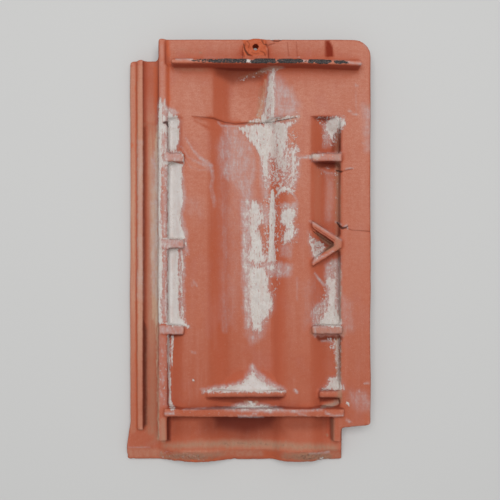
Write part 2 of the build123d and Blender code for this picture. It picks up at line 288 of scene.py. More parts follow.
# Thick lime that ran in lines, as routes in the square frame: strength, points with half widths
LIME_RUNS = {
    "left tongue of the fan": (0.86, [
        (264.6, 156, 3.6), (265, 168, 3.0), (265, 178, 2.0), (265, 187, 0.8)]),
    "narrow run in the trough": (1.0, [
        (272, 190, 1.2), (272.6, 204, 2.6), (272.6, 220, 3.4), (272, 230, 2.4), (271.4, 240, 2.8),
        (272, 256, 3.4), (270.6, 267, 3.8)]),
    "beads at the trough side": (0.78, [
        (296, 144, 0.8), (294, 152, 1.8), (294, 160, 2.4), (293, 168, 2.2), (292.5, 176, 1.6),
        (291, 186, 1.2)]),
    "small patch above the far patch": (0.86, [
        (276, 197, 1.0), (279, 192, 1.6), (284, 189, 2.4), (288, 188.6, 2.2), (291, 191.4, 1.2),
        (293, 195, 0.8)]),
    "run on the head lap": (0.86, [
        (273.4, 70, 1.4), (271.8, 82, 3.0), (270.8, 96, 4.2), (269.6, 110, 5.0), (268, 119, 7.4)]),
    "crust along the head step": (0.66, [
        (250, 121.6, 1.2), (262, 120.5, 2.4), (280, 118.4, 2.2), (298, 115.8, 1.2)]),
    "edge of the long rib": (0.9, [
        (160, 98, 0.9), (160, 120, 2.0), (159.6, 150, 2.2), (159.4, 200, 1.5), (160, 235, 1.8),
        (160.4, 268, 2.6), (159.8, 300, 1.6), (160, 322, 1.8)]),
    "upper edge of the first web": (0.8, [
        (164, 152, 0.8), (180, 152, 0.8), (183, 156, 1.1), (184, 163, 1.1)]),
    "foot of the first web": (0.9, [(159, 163, 2.2), (172, 163.5, 1.8), (182, 165, 1.1)]),
    "foot of the second web": (0.84, [
        (160, 238, 1.1), (170, 238.5, 1.2), (182, 239, 1.1), (186, 244, 1.2)]),
    "upper edge of the third web": (0.88, [
        (160, 322, 1.2), (172, 324.5, 1.2), (184, 325, 1.6), (189, 327, 0.9)]),
    "thread below the third web": (0.86, [
        (168, 336, 1.3), (168.8, 352, 1.5), (169.2, 372, 1.4), (169.6, 390, 1.1), (170, 402, 1.5),
        (172.5, 408, 2.6)]),
    "side thread below the third web": (0.76, [(172.6, 337, 1.3), (172.2, 350, 0.9), (171.6, 366, 0.5)]),
    "lump under the middle bridge": (0.95, [(250, 402.5, 1.5), (253, 404, 1.8)]),
    "dot on the left pan": (0.95, [(193.6, 380, 0.9), (194.2, 380.6, 0.8)]),
    "dot on the flange corner": (0.8, [(347.6, 403, 1.3), (349, 406, 1.0)]),
    "bare gap in the tar": (0.9, [(247, 60.6, 1.5), (250.4, 61.4, 1.3)]),
    "crumb in the far nose": (0.85, [(321, 458.6, 1.0), (323, 458, 1.0)]),
}

# Thin films of lime: cover, fade at the edge, corners
LIME_FILMS = {
    "beside the broad run": (0.66, 2.8, [
        (241.4, 198), (251, 200), (252, 330), (245.4, 328), (243.6, 310), (242.6, 290), (241.8, 262),
        (242, 240), (241.4, 215)]),
    "between the runs": (0.4, 2.0, [(262, 204), (269, 206), (269, 224), (264, 226), (262, 220)]),
    "rubbed side of the trough": (0.36, 5.0, [
        (219, 144), (226, 126), (237, 128), (246, 139), (252, 148), (256, 166), (254, 185), (252, 204),
        (242, 206), (238, 192), (231, 182), (222, 178), (218, 160)]),
    "trough bed": (0.09, 6.0, [(218, 170), (240, 176), (242, 250), (236, 330), (220, 320)]),
    "around the tongue": (0.4, 2.6, [
        (260, 156), (270, 158), (271, 184), (268, 200), (263, 200), (260, 180)]),
    "mottled foot of the runs": (0.5, 3.0, [
        (262, 262), (278, 262), (292, 265), (291, 276), (277, 277), (268, 275)]),
    "side of the fan": (0.34, 3.0, [
        (276, 148), (298, 146), (300, 166), (296, 188), (286, 188), (280, 178)]),
    "between the far patches": (0.46, 2.0, [(280, 203.5), (297, 203), (297, 210), (281, 210)]),
    "below the far patch": (0.26, 3.0, [(279, 245), (293, 246), (291, 258), (281, 256)]),
    "foot of the broad run": (0.3, 4.0, [(244, 316), (270, 316), (264, 336), (252, 344), (246, 334)]),
    "along the head run": (0.6, 2.6, [
        (270, 72), (275, 72), (277, 90), (277, 118), (262, 118), (265, 100), (267, 84)]),
    "right of the head run": (0.42, 6.0, [
        (274, 74), (283, 82), (292, 90), (299, 104), (297, 118), (272, 118), (274, 96)]),
    "clump at the long rib": (0.6, 2.0, [
        (158, 106), (163, 102), (168, 107), (174, 109), (178, 114), (170, 120), (169, 152), (157.6, 152)]),
    "long rib": (0.22, 1.6, [(158, 160), (167.6, 160), (167.6, 250), (157.6, 250)]),
    "lower long rib": (0.36, 1.6, [(158, 250), (167.6, 250), (167.6, 322), (157.6, 322)]),
    "wall of the long rib": (0.22, 0.8, [(166.6, 164), (170.6, 164), (170.6, 324), (166.6, 324)]),
    "long rib below the webs": (0.12, 3.0, [(158, 336), (168, 336), (167, 406), (160, 406)]),
    "head of the long rib": (0.1, 1.6, [(160, 44), (163, 44), (164, 100), (160, 100)]),
    "beside the lower run": (0.42, 1.8, [
        (176, 250), (184.4, 251), (185, 290), (184.4, 320), (190, 327), (176, 326)]),
    "outer edge of the upper run": (0.4, 2.0, [
        (178, 165), (184, 178), (186, 200), (183, 214), (188, 234), (188, 254), (180, 254)]),
    "first web": (0.4, 1.2, [(163, 151.6), (182, 151.6), (183, 161.4), (163, 161.4)]),
    "second web": (0.52, 1.2, [(159, 239), (184, 239), (185, 248.6), (159, 248.6)]),
    "third web": (0.34, 1.2, [(159, 325), (183, 325), (183, 334), (159, 334)]),
    "around the blob": (0.42, 2.6, [
        (321.6, 124), (328, 121), (332, 120), (333, 136), (329, 147), (323, 147), (324, 134)]),
    "first far web": (0.18, 1.4, [(311, 152), (342, 152), (342, 161), (311, 162)]),
    "second pocket": (0.17, 3.0, [(325.6, 172), (333.4, 171), (333, 222), (325, 222)]),
    "chevron": (0.3, 2.0, [(307, 231), (313, 238), (325, 247), (316, 262), (311, 256), (308, 245)]),
    "third pocket": (0.5, 2.8, [
        (325, 267), (332, 260), (341, 257), (341, 290), (341, 327), (312, 326), (311, 312), (316, 303),
        (326, 300), (326, 284)]),
    "third far web": (0.22, 1.6, [(313, 327), (343, 327), (343, 336), (313, 336)]),
    "hook": (0.2, 2.0, [(137, 140), (143, 140), (143, 300), (137, 300)]),
    "far side of the groove": (0.32, 2.4, [(151, 160), (158.6, 140), (158.6, 304), (151, 290)]),
    "foot of the long rib": (0.5, 1.2, [(155, 180), (158.8, 170), (158.8, 290), (155.4, 280)]),
    "left of the third pocket": (0.1, 5.0, [(302, 284), (314, 276), (324, 300), (312, 326), (304, 330)]),
    "above the middle bridge": (0.7, 3.0, [
        (202, 389), (214, 386.6), (232, 384.2), (244, 380), (252.4, 365), (264, 377), (286, 389)]),
    "above the tail bar": (0.6, 1.8, [
        (222, 410), (236, 404), (252, 402.6), (266, 404), (292, 411), (270, 412), (240, 411.4)]),
    "flange, upper": (0.3, 6.0, [(362, 106), (375, 104), (375, 152), (366, 150)]),
    "flange, middle": (0.26, 6.0, [(342, 296), (350, 304), (352, 330), (342, 332)]),
    "flange, lower": (0.27, 7.0, [(350, 392), (366, 394), (374, 400), (374, 412), (358, 408), (350, 401)]),
    "middle of the left pan": (0.12, 6.0, [(186, 198), (200, 200), (202, 216), (188, 214)]),
}

# Thin lime in lines: cover, points with half widths
LIME_TRACES = {
    "thread at the trough side": (0.4, [(290, 189, 1.0), (297, 200, 0.7), (297, 213, 0.7)]),
    "head step": (0.45, [(218, 122, 0.8), (222, 126, 0.9), (232, 126, 0.7), (247, 127, 1.2)]),
    "under the nib": (0.14, [(263, 71, 1.6), (271, 69, 2.2), (284, 67.4, 1.0)]),
    "second line on the long rib": (0.7, [
        (164.5, 99, 0.7), (165.5, 110, 1.4), (166, 160, 0.9), (165.5, 200, 1.0), (165, 245, 0.9),
        (166, 300, 1.2), (166, 320, 1.6)]),
    "spot on the long rib": (0.5, [(162, 351, 1.4), (162.6, 353, 1.0)]),
    "flecks on the long rib": (0.45, [(161, 372, 0.5), (163.4, 378, 0.8), (162.6, 384, 0.4)]),
    "lower flecks on the long rib": (0.45, [(160.6, 390, 0.6), (162, 397, 0.8), (164.6, 392, 0.4)]),
    "pale end of the first far web": (0.62, [
        (300, 157, 0.7), (311, 157, 2.0), (317, 156, 2.2), (322, 154.5, 0.8)]),
    "upper edge of the first far web": (0.4, [(322, 153.4, 0.6), (341, 153, 0.6)]),
    "arc in the second pocket": (0.42, [(322, 170, 0.6), (327, 173.4, 0.7), (333, 172, 0.5)]),
    "back of the upper arm": (0.34, [(310, 221, 1.2), (320, 227, 1.0), (333, 235, 0.9), (341, 240, 0.8)]),
    "inner edge of the lower arm": (0.55, [(313, 262, 0.7), (324, 256, 0.8), (334, 251, 0.7)]),
    "thread in the third pocket": (0.6, [(315, 273, 0.8), (319, 279, 1.0), (324, 285, 1.4)]),
    "upper edge of the third far web": (0.4, [(314, 327, 1.4), (330, 327, 0.8), (342, 327, 0.8)]),
    "end of the third far web": (0.45, [(315, 330, 1.4), (315, 336, 1.4)]),
    "far wall": (0.6, [
        (338, 341, 0.9), (337, 352, 1.0), (338, 362, 0.8), (339, 371, 0.7), (339, 378, 0.9)]),
    "crumbs under the third far web": (0.45, [(322, 341, 0.8), (329, 341, 0.9), (336, 344, 0.9)]),
    "drift under the far bridge": (0.2, [(323, 407, 1.6), (330, 405.5, 1.8), (337, 403, 1.8)]),
    "line above the tail bar, near": (0.36, [(183, 409.5, 0.8), (205, 408.5, 1.0), (226, 408, 1.4)]),
    "line above the tail bar, far": (0.5, [(290, 411, 1.2), (305, 411, 1.2), (322, 409, 1.2)]),
    "bits on the tail bar, near": (0.55, [(166, 413.5, 1.2), (173, 413.5, 1.3)]),
    "bits on the tail bar, middle": (0.6, [(239, 416.2, 1.0), (252, 416.6, 0.8), (263, 417, 0.6)]),
    "crumb on the tail bar": (0.5, [(253, 413.6, 1.0), (256, 414, 1.0)]),
    "bits on the tail bar, far": (0.42, [(299, 414, 1.0), (306, 415.2, 0.8)]),
    "end of the tail bar": (0.42, [(326, 413, 1.0), (334, 416, 0.8), (343, 415, 0.8)]),
    "stroke on the left pan": (0.4, [
        (186, 138, 0.5), (193, 150, 0.9), (200, 158, 1.3), (206, 162, 2.2), (211, 166, 1.8)]),
    "thin stroke beside it": (0.3, [(181, 146, 0.4), (188, 157, 0.5), (197, 162, 0.6), (205, 164, 0.8)]),
    "lower thin stroke": (0.22, [(184, 158, 0.5), (191, 167, 0.5), (200, 170, 0.5), (210, 171, 0.7)]),
    "tail of that stroke": (0.24, [
        (211, 168, 2.0), (213, 178, 1.6), (211, 187, 1.6), (214, 200, 2.0), (214.5, 207, 1.2)]),
    "second stroke on the left pan": (0.28, [(192, 160, 0.8), (204, 165, 1.0), (212, 171, 2.0)]),
    "haze in the trough": (0.14, [(224, 190, 3.0), (225, 260, 2.6), (223, 290, 1.8), (225, 330, 3.4)]),
    "haze at the trough foot": (0.14, [(297, 278, 1.2), (297, 300, 1.0)]),
    "faint dots on the left pan": (0.25, [(192, 352, 1.0), (195, 353, 1.2)]),
    "scratches on the left pan": (0.22, [(192, 286, 1.0), (194, 281, 1.2), (197, 286, 0.8)]),
    "dot above the tail bar": (0.7, [(295, 390, 1.2), (297, 392, 1.0)]),
    "rubs on the flange corner": (0.45, [(347, 420, 1.0), (350, 422, 1.2)]),
    "dots on the flange": (0.45, [(365, 383.4, 0.8), (368, 383, 0.9)]),
    "dot beside the flange edge": (0.45, [(358.8, 391, 0.9), (359.6, 392.6, 0.9)]),
    "dot at the head of the flange": (0.5, [(355.6, 85, 0.9), (356.8, 86, 0.8)]),
    "scratch on the flange": (0.3, [(356.4, 86, 0.3), (356.7, 114, 0.3)]),
    "marks by the head step": (0.55, [(349, 110.6, 0.9), (351, 112, 0.9)]),
    "second mark by the head step": (0.5, [(352.6, 114, 0.8), (357, 114.6, 0.9)]),
    "pale lip of the break": (0.6, [(336, 222.4, 0.5), (339, 222.8, 0.6), (341.4, 225.4, 0.5)]),
    "pale edge of the break": (0.55, [(343.6, 227.2, 0.6), (347, 225.6, 0.7), (347.6, 229, 0.5)]),
    "pale edge of the upper crack": (0.55, [(346, 169.4, 0.4), (349.4, 168.2, 0.6), (353, 168.2, 0.4)]),
    "dot at the flange edge": (0.5, [(362.8, 143, 0.8), (363.6, 143.4, 0.8)]),
    "rubbed head corner": (0.26, [(364, 44, 1.0), (368, 49, 1.0)]),
    "pale end of the nib, near": (0.45, [(176, 58.8, 0.9), (192, 59.6, 1.1)]),
    "second bare gap in the tar": (0.6, [(302, 60.8, 1.3), (308, 61.2, 1.1)]),
    "pale end of the nib, far": (0.45, [(346, 62, 0.8), (354, 63, 0.9), (361, 64, 1.2)]),
    "edge of the nib": (0.4, [(204, 57.8, 0.5), (240, 57.4, 0.5), (300, 57.8, 0.4), (345, 60, 0.4)]),
    "line at the nose of the flange": (0.25, [(128, 447.2, 0.4), (140, 447.4, 0.4), (150, 447.4, 0.3)]),
    "crust on the far nose": (0.45, [(310, 453.8, 0.6), (320, 453.2, 0.8), (328, 452, 1.2)]),
}

# Lime left in flecks: strength, fade at the edge, corners
LIME_FLECKS = {
    "foot of the fan": (0.74, 3.0, [
        (260, 150), (288, 146), (298, 140), (301, 158), (299, 178), (295, 194), (280, 196), (272, 186),
        (266, 196), (261, 178)]),
    "right of the fan": (0.5, 3.0, [(286, 126), (298, 128), (301, 150), (286, 150)]),
    "around the narrow run": (0.6, 2.0, [(262, 194), (279, 194), (280, 270), (262, 272), (262, 240)]),
    "around the far patch": (0.55, 2.4, [(278, 202), (299, 202), (299, 244), (280, 248)]),
    "edge of the broad run": (0.5, 3.0, [(240, 200), (252, 200), (252, 334), (244, 332), (241, 262)]),
    "foot of the broad run": (0.5, 3.0, [
        (248, 262), (284, 262), (276, 300), (270, 322), (258, 338), (248, 330)]),
    "right of the head run": (0.3, 5.0, [(274, 78), (290, 86), (300, 102), (302, 120), (274, 122)]),
    "left of the head run": (0.4, 2.0, [(258, 96), (266, 96), (266, 122), (256, 122)]),
    "inside the chevron": (0.95, 1.8, [
        (308, 233), (313, 238), (322, 242), (326, 248), (316, 262), (312, 256), (309, 245)]),
    "third pocket": (0.62, 3.0, [
        (311, 310), (318, 302), (324, 284), (328, 262), (341, 258), (342, 327), (312, 326)]),
    "third far web": (0.26, 1.2, [(313, 326), (344, 326), (344, 337), (313, 337)]),
    "near nose": (0.34, 1.6, [(158, 449), (206, 454), (208, 461), (160, 460)]),
    "blob under the head lap": (0.6, 2.0, [
        (314, 117), (346, 115), (345, 128), (336, 146), (322, 146), (320, 126)]),
    "first far web": (0.4, 1.2, [(310, 152), (342, 152), (342, 161), (310, 162)]),
    "below the first far web": (0.4, 2.0, [(314, 166), (340, 166), (340, 176), (318, 177)]),
    "long rib": (0.56, 1.4, [(158, 104), (168.6, 106), (168.6, 322), (157.6, 322)]),
    "long rib below the webs": (0.36, 1.4, [(159, 336), (168, 336), (168, 406), (159, 406)]),
    "webs": (0.5, 1.2, [(160, 238), (186, 238), (186, 249), (160, 249)]),
    "crust under the nib": (0.5, 1.2, [
        (230, 80), (246, 75), (262, 69), (282, 66), (282, 70), (264, 76), (240, 82)]),
    "far wall": (0.76, 2.0, [(328, 338), (341.4, 338), (341.4, 380), (336, 380), (334, 360)]),
    "upper far wall": (0.34, 1.2, [(334, 166), (341, 166), (341, 222), (335, 222)]),
    "lower run": (0.5, 1.6, [(176, 250), (186, 250), (186, 326), (178, 326)]),
    "flange corner": (0.16, 5.0, [(344, 386), (372, 390), (372, 426), (346, 426)]),
    "tail bar": (0.24, 1.2, [(163, 409), (345, 409), (345, 417), (163, 417)]),
    "nib": (0.34, 1.2, [(176, 56.6), (362, 58), (362, 64.6), (176, 61)]),
}

# Tar left on the crown of the nib: strength, points with half widths
TAR_STREAKS = {
    "near end": (0.66, [(193, 61, 1.2), (203, 60.8, 2.0), (220, 60.8, 2.4)]),
    "near half": (0.84, [(210, 61, 1.8), (226, 60.6, 2.4), (238, 60.4, 2.6), (245, 60.4, 2.5)]),
    "middle": (0.95, [(252, 61.8, 1.8), (258, 60.6, 3.2), (266, 60.4, 3.4), (273, 60.6, 2.6)]),
    "thin middle": (0.7, [(273, 62.4, 1.0), (279, 62.6, 1.2)]),
    "far half": (0.9, [(279, 61, 2.4), (290, 61, 2.9), (301, 60.8, 2.2)]),
    "thin far half": (0.7, [(301, 62.4, 0.8), (311, 61.6, 1.0)]),
    "far end": (0.92, [(310, 61, 2.0), (321, 61.3, 2.7), (329.6, 61.6, 2.0)]),
    "last bit": (0.9, [(335.6, 61.8, 1.8), (343, 62.3, 2.0), (348, 63, 0.8)]),
}

# Brown dirt in the grooves and on worn walls: strength, points with half widths
DIRT_STREAKS = {
    "upper far wall": (0.5, [(337.4, 128, 2.0), (337.4, 150, 2.2), (337.8, 236, 2.2)]),
    "middle far wall": (0.6, [(338.4, 258, 1.6), (339.4, 290, 2.0), (339.6, 324, 1.4)]),
    "lower far wall": (0.75, [(339, 340, 2.0), (339.6, 372, 1.8), (340, 402, 2.2)]),
    "under the far bridge": (0.85, [(322, 406.8, 1.0), (330, 405.6, 1.6), (337, 403, 2.0)]),
    "far side rib": (0.65, [(332.4, 420, 2.0), (332.6, 440, 1.6)]),
    "crust under the nib": (0.3, [(240, 77.6, 1.0), (252, 75, 1.8), (264, 71, 2.6), (280, 68, 1.6)]),
    "beside the head run": (0.35, [(262, 88, 2.6), (260, 104, 2.6), (258, 116, 2.2)]),
    "inside the chevron": (0.75, [(316, 233, 1.4), (326, 241, 2.2), (334, 246, 1.8), (326, 250, 2.0)]),
    "below the first web": (0.5, [(170, 160.6, 0.7), (180, 161, 0.8)]),
    "below the second web": (0.5, [(171, 248.6, 0.8), (183, 248.6, 0.9)]),
    "brown side of the third pocket": (0.6, [
        (333, 262, 3.0), (337, 276, 2.4), (338, 300, 1.6), (338.6, 318, 1.2)]),
    "chip at the near corner": (1.0, [(160.6, 452, 0.4), (161.4, 456, 0.5)]),
    "chip in the near nose": (1.0, [(165, 459.4, 0.4), (168, 461.4, 0.5)]),
    "second chip in the near nose": (1.0, [(176, 463, 0.5), (182, 464.2, 0.5)]),
    "third chip in the near nose": (1.0, [(189, 463.8, 0.5), (196, 464.4, 0.5)]),
    "fourth chip in the near nose": (1.0, [(203, 463.4, 0.4), (208, 462.4, 0.4)]),
    "mark on the flange nose": (0.7, [(141, 446.6, 0.4), (143, 446.4, 0.5)]),
    "dot on the head strip": (1.0, [(200.2, 52.8, 0.6), (201, 53, 0.6)]),
    "scores on the head strip": (0.3, [(179, 49, 0.4), (190, 51, 0.4), (194, 53, 0.4)]),
    "dot in the tail groove": (1.0, [(327, 434.8, 0.8), (327.4, 435.8, 0.7)]),
    "dots on the lower far wall": (1.0, [(334, 347, 0.5), (334.6, 347.8, 0.5)]),
    "second dots on the lower far wall": (1.0, [(336.4, 356, 0.5), (336.8, 358, 0.6)]),
    "third dots on the lower far wall": (1.0, [(335, 363, 0.4), (337, 365, 0.6)]),
    "dark foot of the lower far wall": (1.0, [(340.6, 344, 0.4), (340.8, 352, 0.5)]),
    "pit in the far nose": (1.0, [(324, 456.6, 0.9), (325.6, 459.6, 1.0)]),
    "lump under the bridge": (0.6, [(248.4, 402, 1.0), (252.6, 405.6, 1.0)]),
    "chip at the flange edge": (0.6, [(365.6, 107, 0.8), (370.4, 104, 1.0)]),
}

# Dirt that settled softly: fade, points with half widths and strengths
SETTLED_DIRT = {
    "overlap groove": (3.0, [(150, 129, 4.0, 0.12), (150, 250, 5.0, 0.2), (151, 430, 5.0, 0.5)]),
    "smudge across the groove": (2.4, [
        (143, 123.6, 0.6, 0.5), (148, 125, 1.0, 0.55), (156, 128, 0.5, 0.4)]),
    "flange corner": (4.0, [(152, 428, 2.0, 0.4), (158, 438, 3.0, 0.5), (150, 444, 1.0, 0.3)]),
    "near side rib": (2.0, [(163, 420, 2.0, 0.35), (163, 441, 2.0, 0.5)]),
    "tail lip": (4.5, [
        (166, 446, 2.0, 0.75), (200, 444.6, 2.4, 0.85), (235, 444, 2.8, 0.95), (265, 444.4, 2.8, 0.95),
        (300, 447, 2.4, 0.9), (334, 447.6, 2.0, 0.85)]),
    "near nose": (2.6, [
        (162, 456, 2.0, 0.6), (174, 456, 3.0, 0.8), (198, 457, 3.4, 0.92), (222, 455, 2.6, 0.3)]),
    "far nose": (2.4, [(284, 456, 2.6, 0.6), (305, 457, 3.6, 0.98), (328, 456.6, 3.2, 0.8)]),
    "third far web": (1.4, [(314, 331.6, 4.0, 0.4), (328, 331.6, 4.0, 0.3), (342, 331.6, 4.0, 0.4)]),
    "far wall": (1.8, [
        (337.6, 128, 2.4, 0.4), (337.6, 220, 2.6, 0.55), (338, 300, 2.0, 0.3), (338.6, 400, 2.2, 0.5)]),
}

# Clay bleached to a pale tan by rain and sun, and two marks of painted light under the nib and on the far
# slope: fade, points with half widths and strengths
BLEACH_AND_PAINTED_LIGHT_STREAKS = {
    "overlap strip": (1.2, [
        (132.6, 64, 3.0, 0.45), (132.6, 140, 3.0, 0.5), (132.6, 200, 3.0, 0.8), (132.6, 290, 3.0, 0.8),
        (132.6, 345, 3.0, 0.4), (133, 430, 3.0, 0.3)]),
    "hook": (1.0, [
        (140, 64, 2.8, 0.45), (140, 110, 2.8, 0.55), (140, 150, 3.0, 0.9), (140, 300, 3.0, 0.9),
        (140, 360, 3.0, 0.5), (140.6, 428, 2.6, 0.35)]),
    "groove, head": (3.0, [(150, 84, 2.0, 0.05), (150.4, 104, 3.4, 0.35), (151, 119, 4.2, 0.55)]),
    "groove": (2.0, [
        (152, 124, 3.6, 0.3), (152, 140, 3.8, 0.8), (152, 300, 3.8, 0.75), (152, 336, 3.4, 0.4),
        (153, 360, 3.0, 0.15), (153, 430, 3.0, 0.1)]),
    "painted light under the near end of the nib": (2.0, [(176, 69.2, 1.6, 0.3), (206, 69.8, 1.6, 0.3)]),
    "painted light on the far slope": (3.0, [(318, 168, 3.0, 0.16), (318, 226, 3.0, 0.16)]),
    "upper far wall": (1.0, [(338.6, 164, 1.8, 0.5), (338.8, 196, 1.8, 0.6), (338.8, 220, 1.8, 0.5)]),
    "tail lip": (5.0, [
        (164, 446, 1.6, 0.5), (200, 444.6, 2.0, 0.7), (235, 444, 2.4, 0.95), (265, 444.4, 2.4, 0.9),
        (300, 447, 1.8, 0.8), (334, 447.6, 1.4, 0.7)]),
    "flange nose": (2.0, [(127, 453, 4.0, 0.4), (160, 453, 4.0, 0.4)]),
    "near nose": (2.0, [(176, 453, 3.0, 0.3), (225, 453, 3.4, 0.5), (262, 453, 3.0, 0.4)]),
    "far nose": (2.0, [(284, 455, 3.0, 0.2), (338, 455, 3.0, 0.4)]),
    "near side rib": (1.6, [(163, 420, 2.4, 0.4), (163, 441, 2.4, 0.5)]),
}

# Painted shade in the deep tail groove, in corners, and under the nib, webs and bridges: strength, fade at
# the edge, corners
PAINTED_SHADE_PATCHES = {
    "deep tail groove": (0.94, 9.0, [(206, 410), (282, 410), (274, 430), (246, 435), (214, 430)]),
    "side of the deep tail groove": (0.6, 12.0, [
        (190, 408), (294, 408), (284, 432), (246, 440), (202, 432)]),
    "near tail groove": (0.55, 3.0, [(170, 414), (208, 414), (208, 422), (170, 421)]),
    "floor of the near tail groove": (0.2, 6.0, [(172, 416), (212, 416), (212, 434), (172, 434)]),
    "far tail groove": (0.4, 5.0, [(276, 412), (335, 412), (332, 428), (310, 430), (276, 430)]),
    "under the nib": (0.5, 4.0, [(213, 64), (264, 64), (262, 80), (232, 84), (216, 75)]),
    "top of the upper far pocket": (0.55, 1.4, [(313, 116.6), (329, 116.6), (326, 120.4), (315, 120)]),
    "end of the upper far pocket": (0.55, 1.6, [(333, 132), (341, 130), (341, 152), (331, 152)]),
    "below the first far web": (0.75, 1.6, [(313, 162), (341, 161), (340, 168), (318, 168)]),
    "below the third far web": (0.75, 1.2, [(315, 336), (343, 336), (342, 340), (318, 341)]),
    "below the far bridge": (0.7, 1.2, [(319, 397), (339, 397), (337, 401), (320, 402)]),
    "below the middle bridge": (0.6, 1.8, [(205, 397), (286, 395), (280, 400), (240, 404), (207, 400)]),
    "below the third web": (0.7, 1.0, [(161, 333), (184, 333), (183, 336), (172, 337.5), (162, 336)]),
    "inner foot of the hook": (0.5, 1.4, [(143.2, 127), (145.6, 127), (145.6, 320), (143.2, 320)]),
    "inner foot of the hook, tail half": (0.95, 1.5, [(143, 316), (147, 330), (147.2, 424), (143, 428)]),
    "beside the near side rib": (0.75, 1.6, [(166.4, 416), (171.5, 416), (171, 441), (166.4, 441)]),
    "inside the chevron": (0.6, 1.8, [(316, 232), (337, 244), (330, 249), (322, 244)]),
}

# Crumbly clay that was pressed by hand, as outlines
CRUMBLY_PATCHES = {
    "first web": [(160, 151), (185, 151), (185, 163), (160, 163)],
    "second web": [(160, 238), (187, 238), (187, 250), (160, 250)],
    "third web": [(159, 325), (184, 325), (184, 335), (159, 335)],
    "first far web": [(310, 151), (343, 151), (343, 163), (310, 164)],
    "chevron": [(309, 220), (345, 238), (345, 252), (312, 270)],
    "third far web": [(312, 326), (344, 326), (344, 338), (312, 338)],
    "nail boss": [(242, 38), (267, 38), (267, 58), (242, 58)],
    "tail bar": [(162, 408), (346, 408), (346, 418), (162, 418)],
    "near nose edge": [(160, 447), (176, 447), (222, 455), (220, 466), (160, 466)],
    "far nose": [(282, 452), (334, 450), (334, 464), (282, 464)],
}
CHEVRON_RIDGE = [(313.6, 229.6, 0.9), (323, 236.2, 1.1), (334, 243.4, 0.9)]

# Yellow green growth in the groove: strength, points with half widths
GROWTH_STREAKS = {
    "foot of the long rib": (0.8, [
        (157.4, 126, 1.0), (156.8, 150, 1.8), (156.8, 320, 1.8), (157.4, 345, 0.8), (158.4, 438, 0.8)]),
    "speckle in the groove": (0.5, [(154, 186, 1.6), (153.6, 240, 2.6), (154, 318, 2.0)]),
    "lower far wall": (0.7, [(337, 341, 2.4), (337.6, 356, 2.0), (338.4, 372, 1.6), (339, 388, 1.6)]),
    "under the far bridge": (0.2, [(322, 406, 1.4), (330, 404.4, 2.2), (337, 402, 2.4)]),
    "middle far wall": (0.55, [(339.4, 262, 0.7), (339.8, 300, 0.8), (340, 324, 0.9)]),
    "lump under the middle bridge": (0.5, [(246, 402, 1.4), (254, 403.6, 1.8), (257, 402, 1.0)]),
    "end of the first far web": (0.75, [(311.6, 156, 1.8), (317, 157, 2.6)]),
    "smear under the nib": (0.32, [(260, 71, 1.2), (270, 68.4, 2.6), (282, 67, 1.4)]),
    "edge of the head run": (0.4, [(266, 80, 1.4), (263.6, 100, 2.2), (260, 117, 2.4)]),
    "crust along the head step": (0.6, [
        (248, 123, 1.2), (262, 121.6, 2.2), (280, 119.4, 2.0), (298, 116.6, 1.0)]),
}

# Fresh or hard-fired clay that broke off: strength, fade at the edge, corners
BREAK_PATCHES = {
    "nail boss": (0.9, 1.0, [(243, 39), (266, 39), (266, 57), (243, 57)]),
    "near nose edge": (0.8, 1.2, [(166, 459), (220, 459), (218, 466), (166, 466)]),
    "orange nose": (0.6, 2.0, [(262, 450), (276, 450), (283, 462), (266, 462)]),
    "flange edge": (0.8, 0.8, [(366, 105), (371, 101), (373, 108), (368, 108)]),
    "upper groove beside the rib": (0.7, 1.2, [(153.4, 62), (157.4, 62), (157.4, 116), (154.6, 112)]),
    "foot of the hook": (0.85, 0.8, [(135.4, 64), (137, 64), (137.2, 428), (135.6, 428)]),
    "inner side of the rib's head": (0.7, 1.0, [(166.4, 40), (170, 40), (170, 104), (166.8, 100)]),
    "spot on the overlap strip": (1.0, 0.9, [(130.4, 143.6), (132.4, 143.4), (132.8, 147), (130.6, 147.4)]),
    "smooth nose": (0.3, 3.0, [(222, 449), (238, 449), (238, 459), (222, 459)]),
}

# Where the clay was pressed higher, or raked deeper, than its surroundings
WEB_TOPS = {
    "first web": [(163.6, 152.2), (184, 152.2), (184, 161.4), (163.6, 161.4)],
    "second web": [(159.8, 239.4), (185, 239.4), (185, 248.6), (159.8, 248.6)],
    "third web": [(159.8, 325.2), (184, 325.2), (184, 334.2), (159.8, 334.2)],
}
STEP_HOLLOW_OUTLINE = [(190, 115.5), (206, 118), (217, 120), (231, 125), (226, 135), (206, 129), (192, 121)]
# The raked hollow, which also carries painted shade
RAKE_HOLLOW_OUTLINE = [(325, 40), (329, 40), (333, 47), (334, 58), (325, 58)]
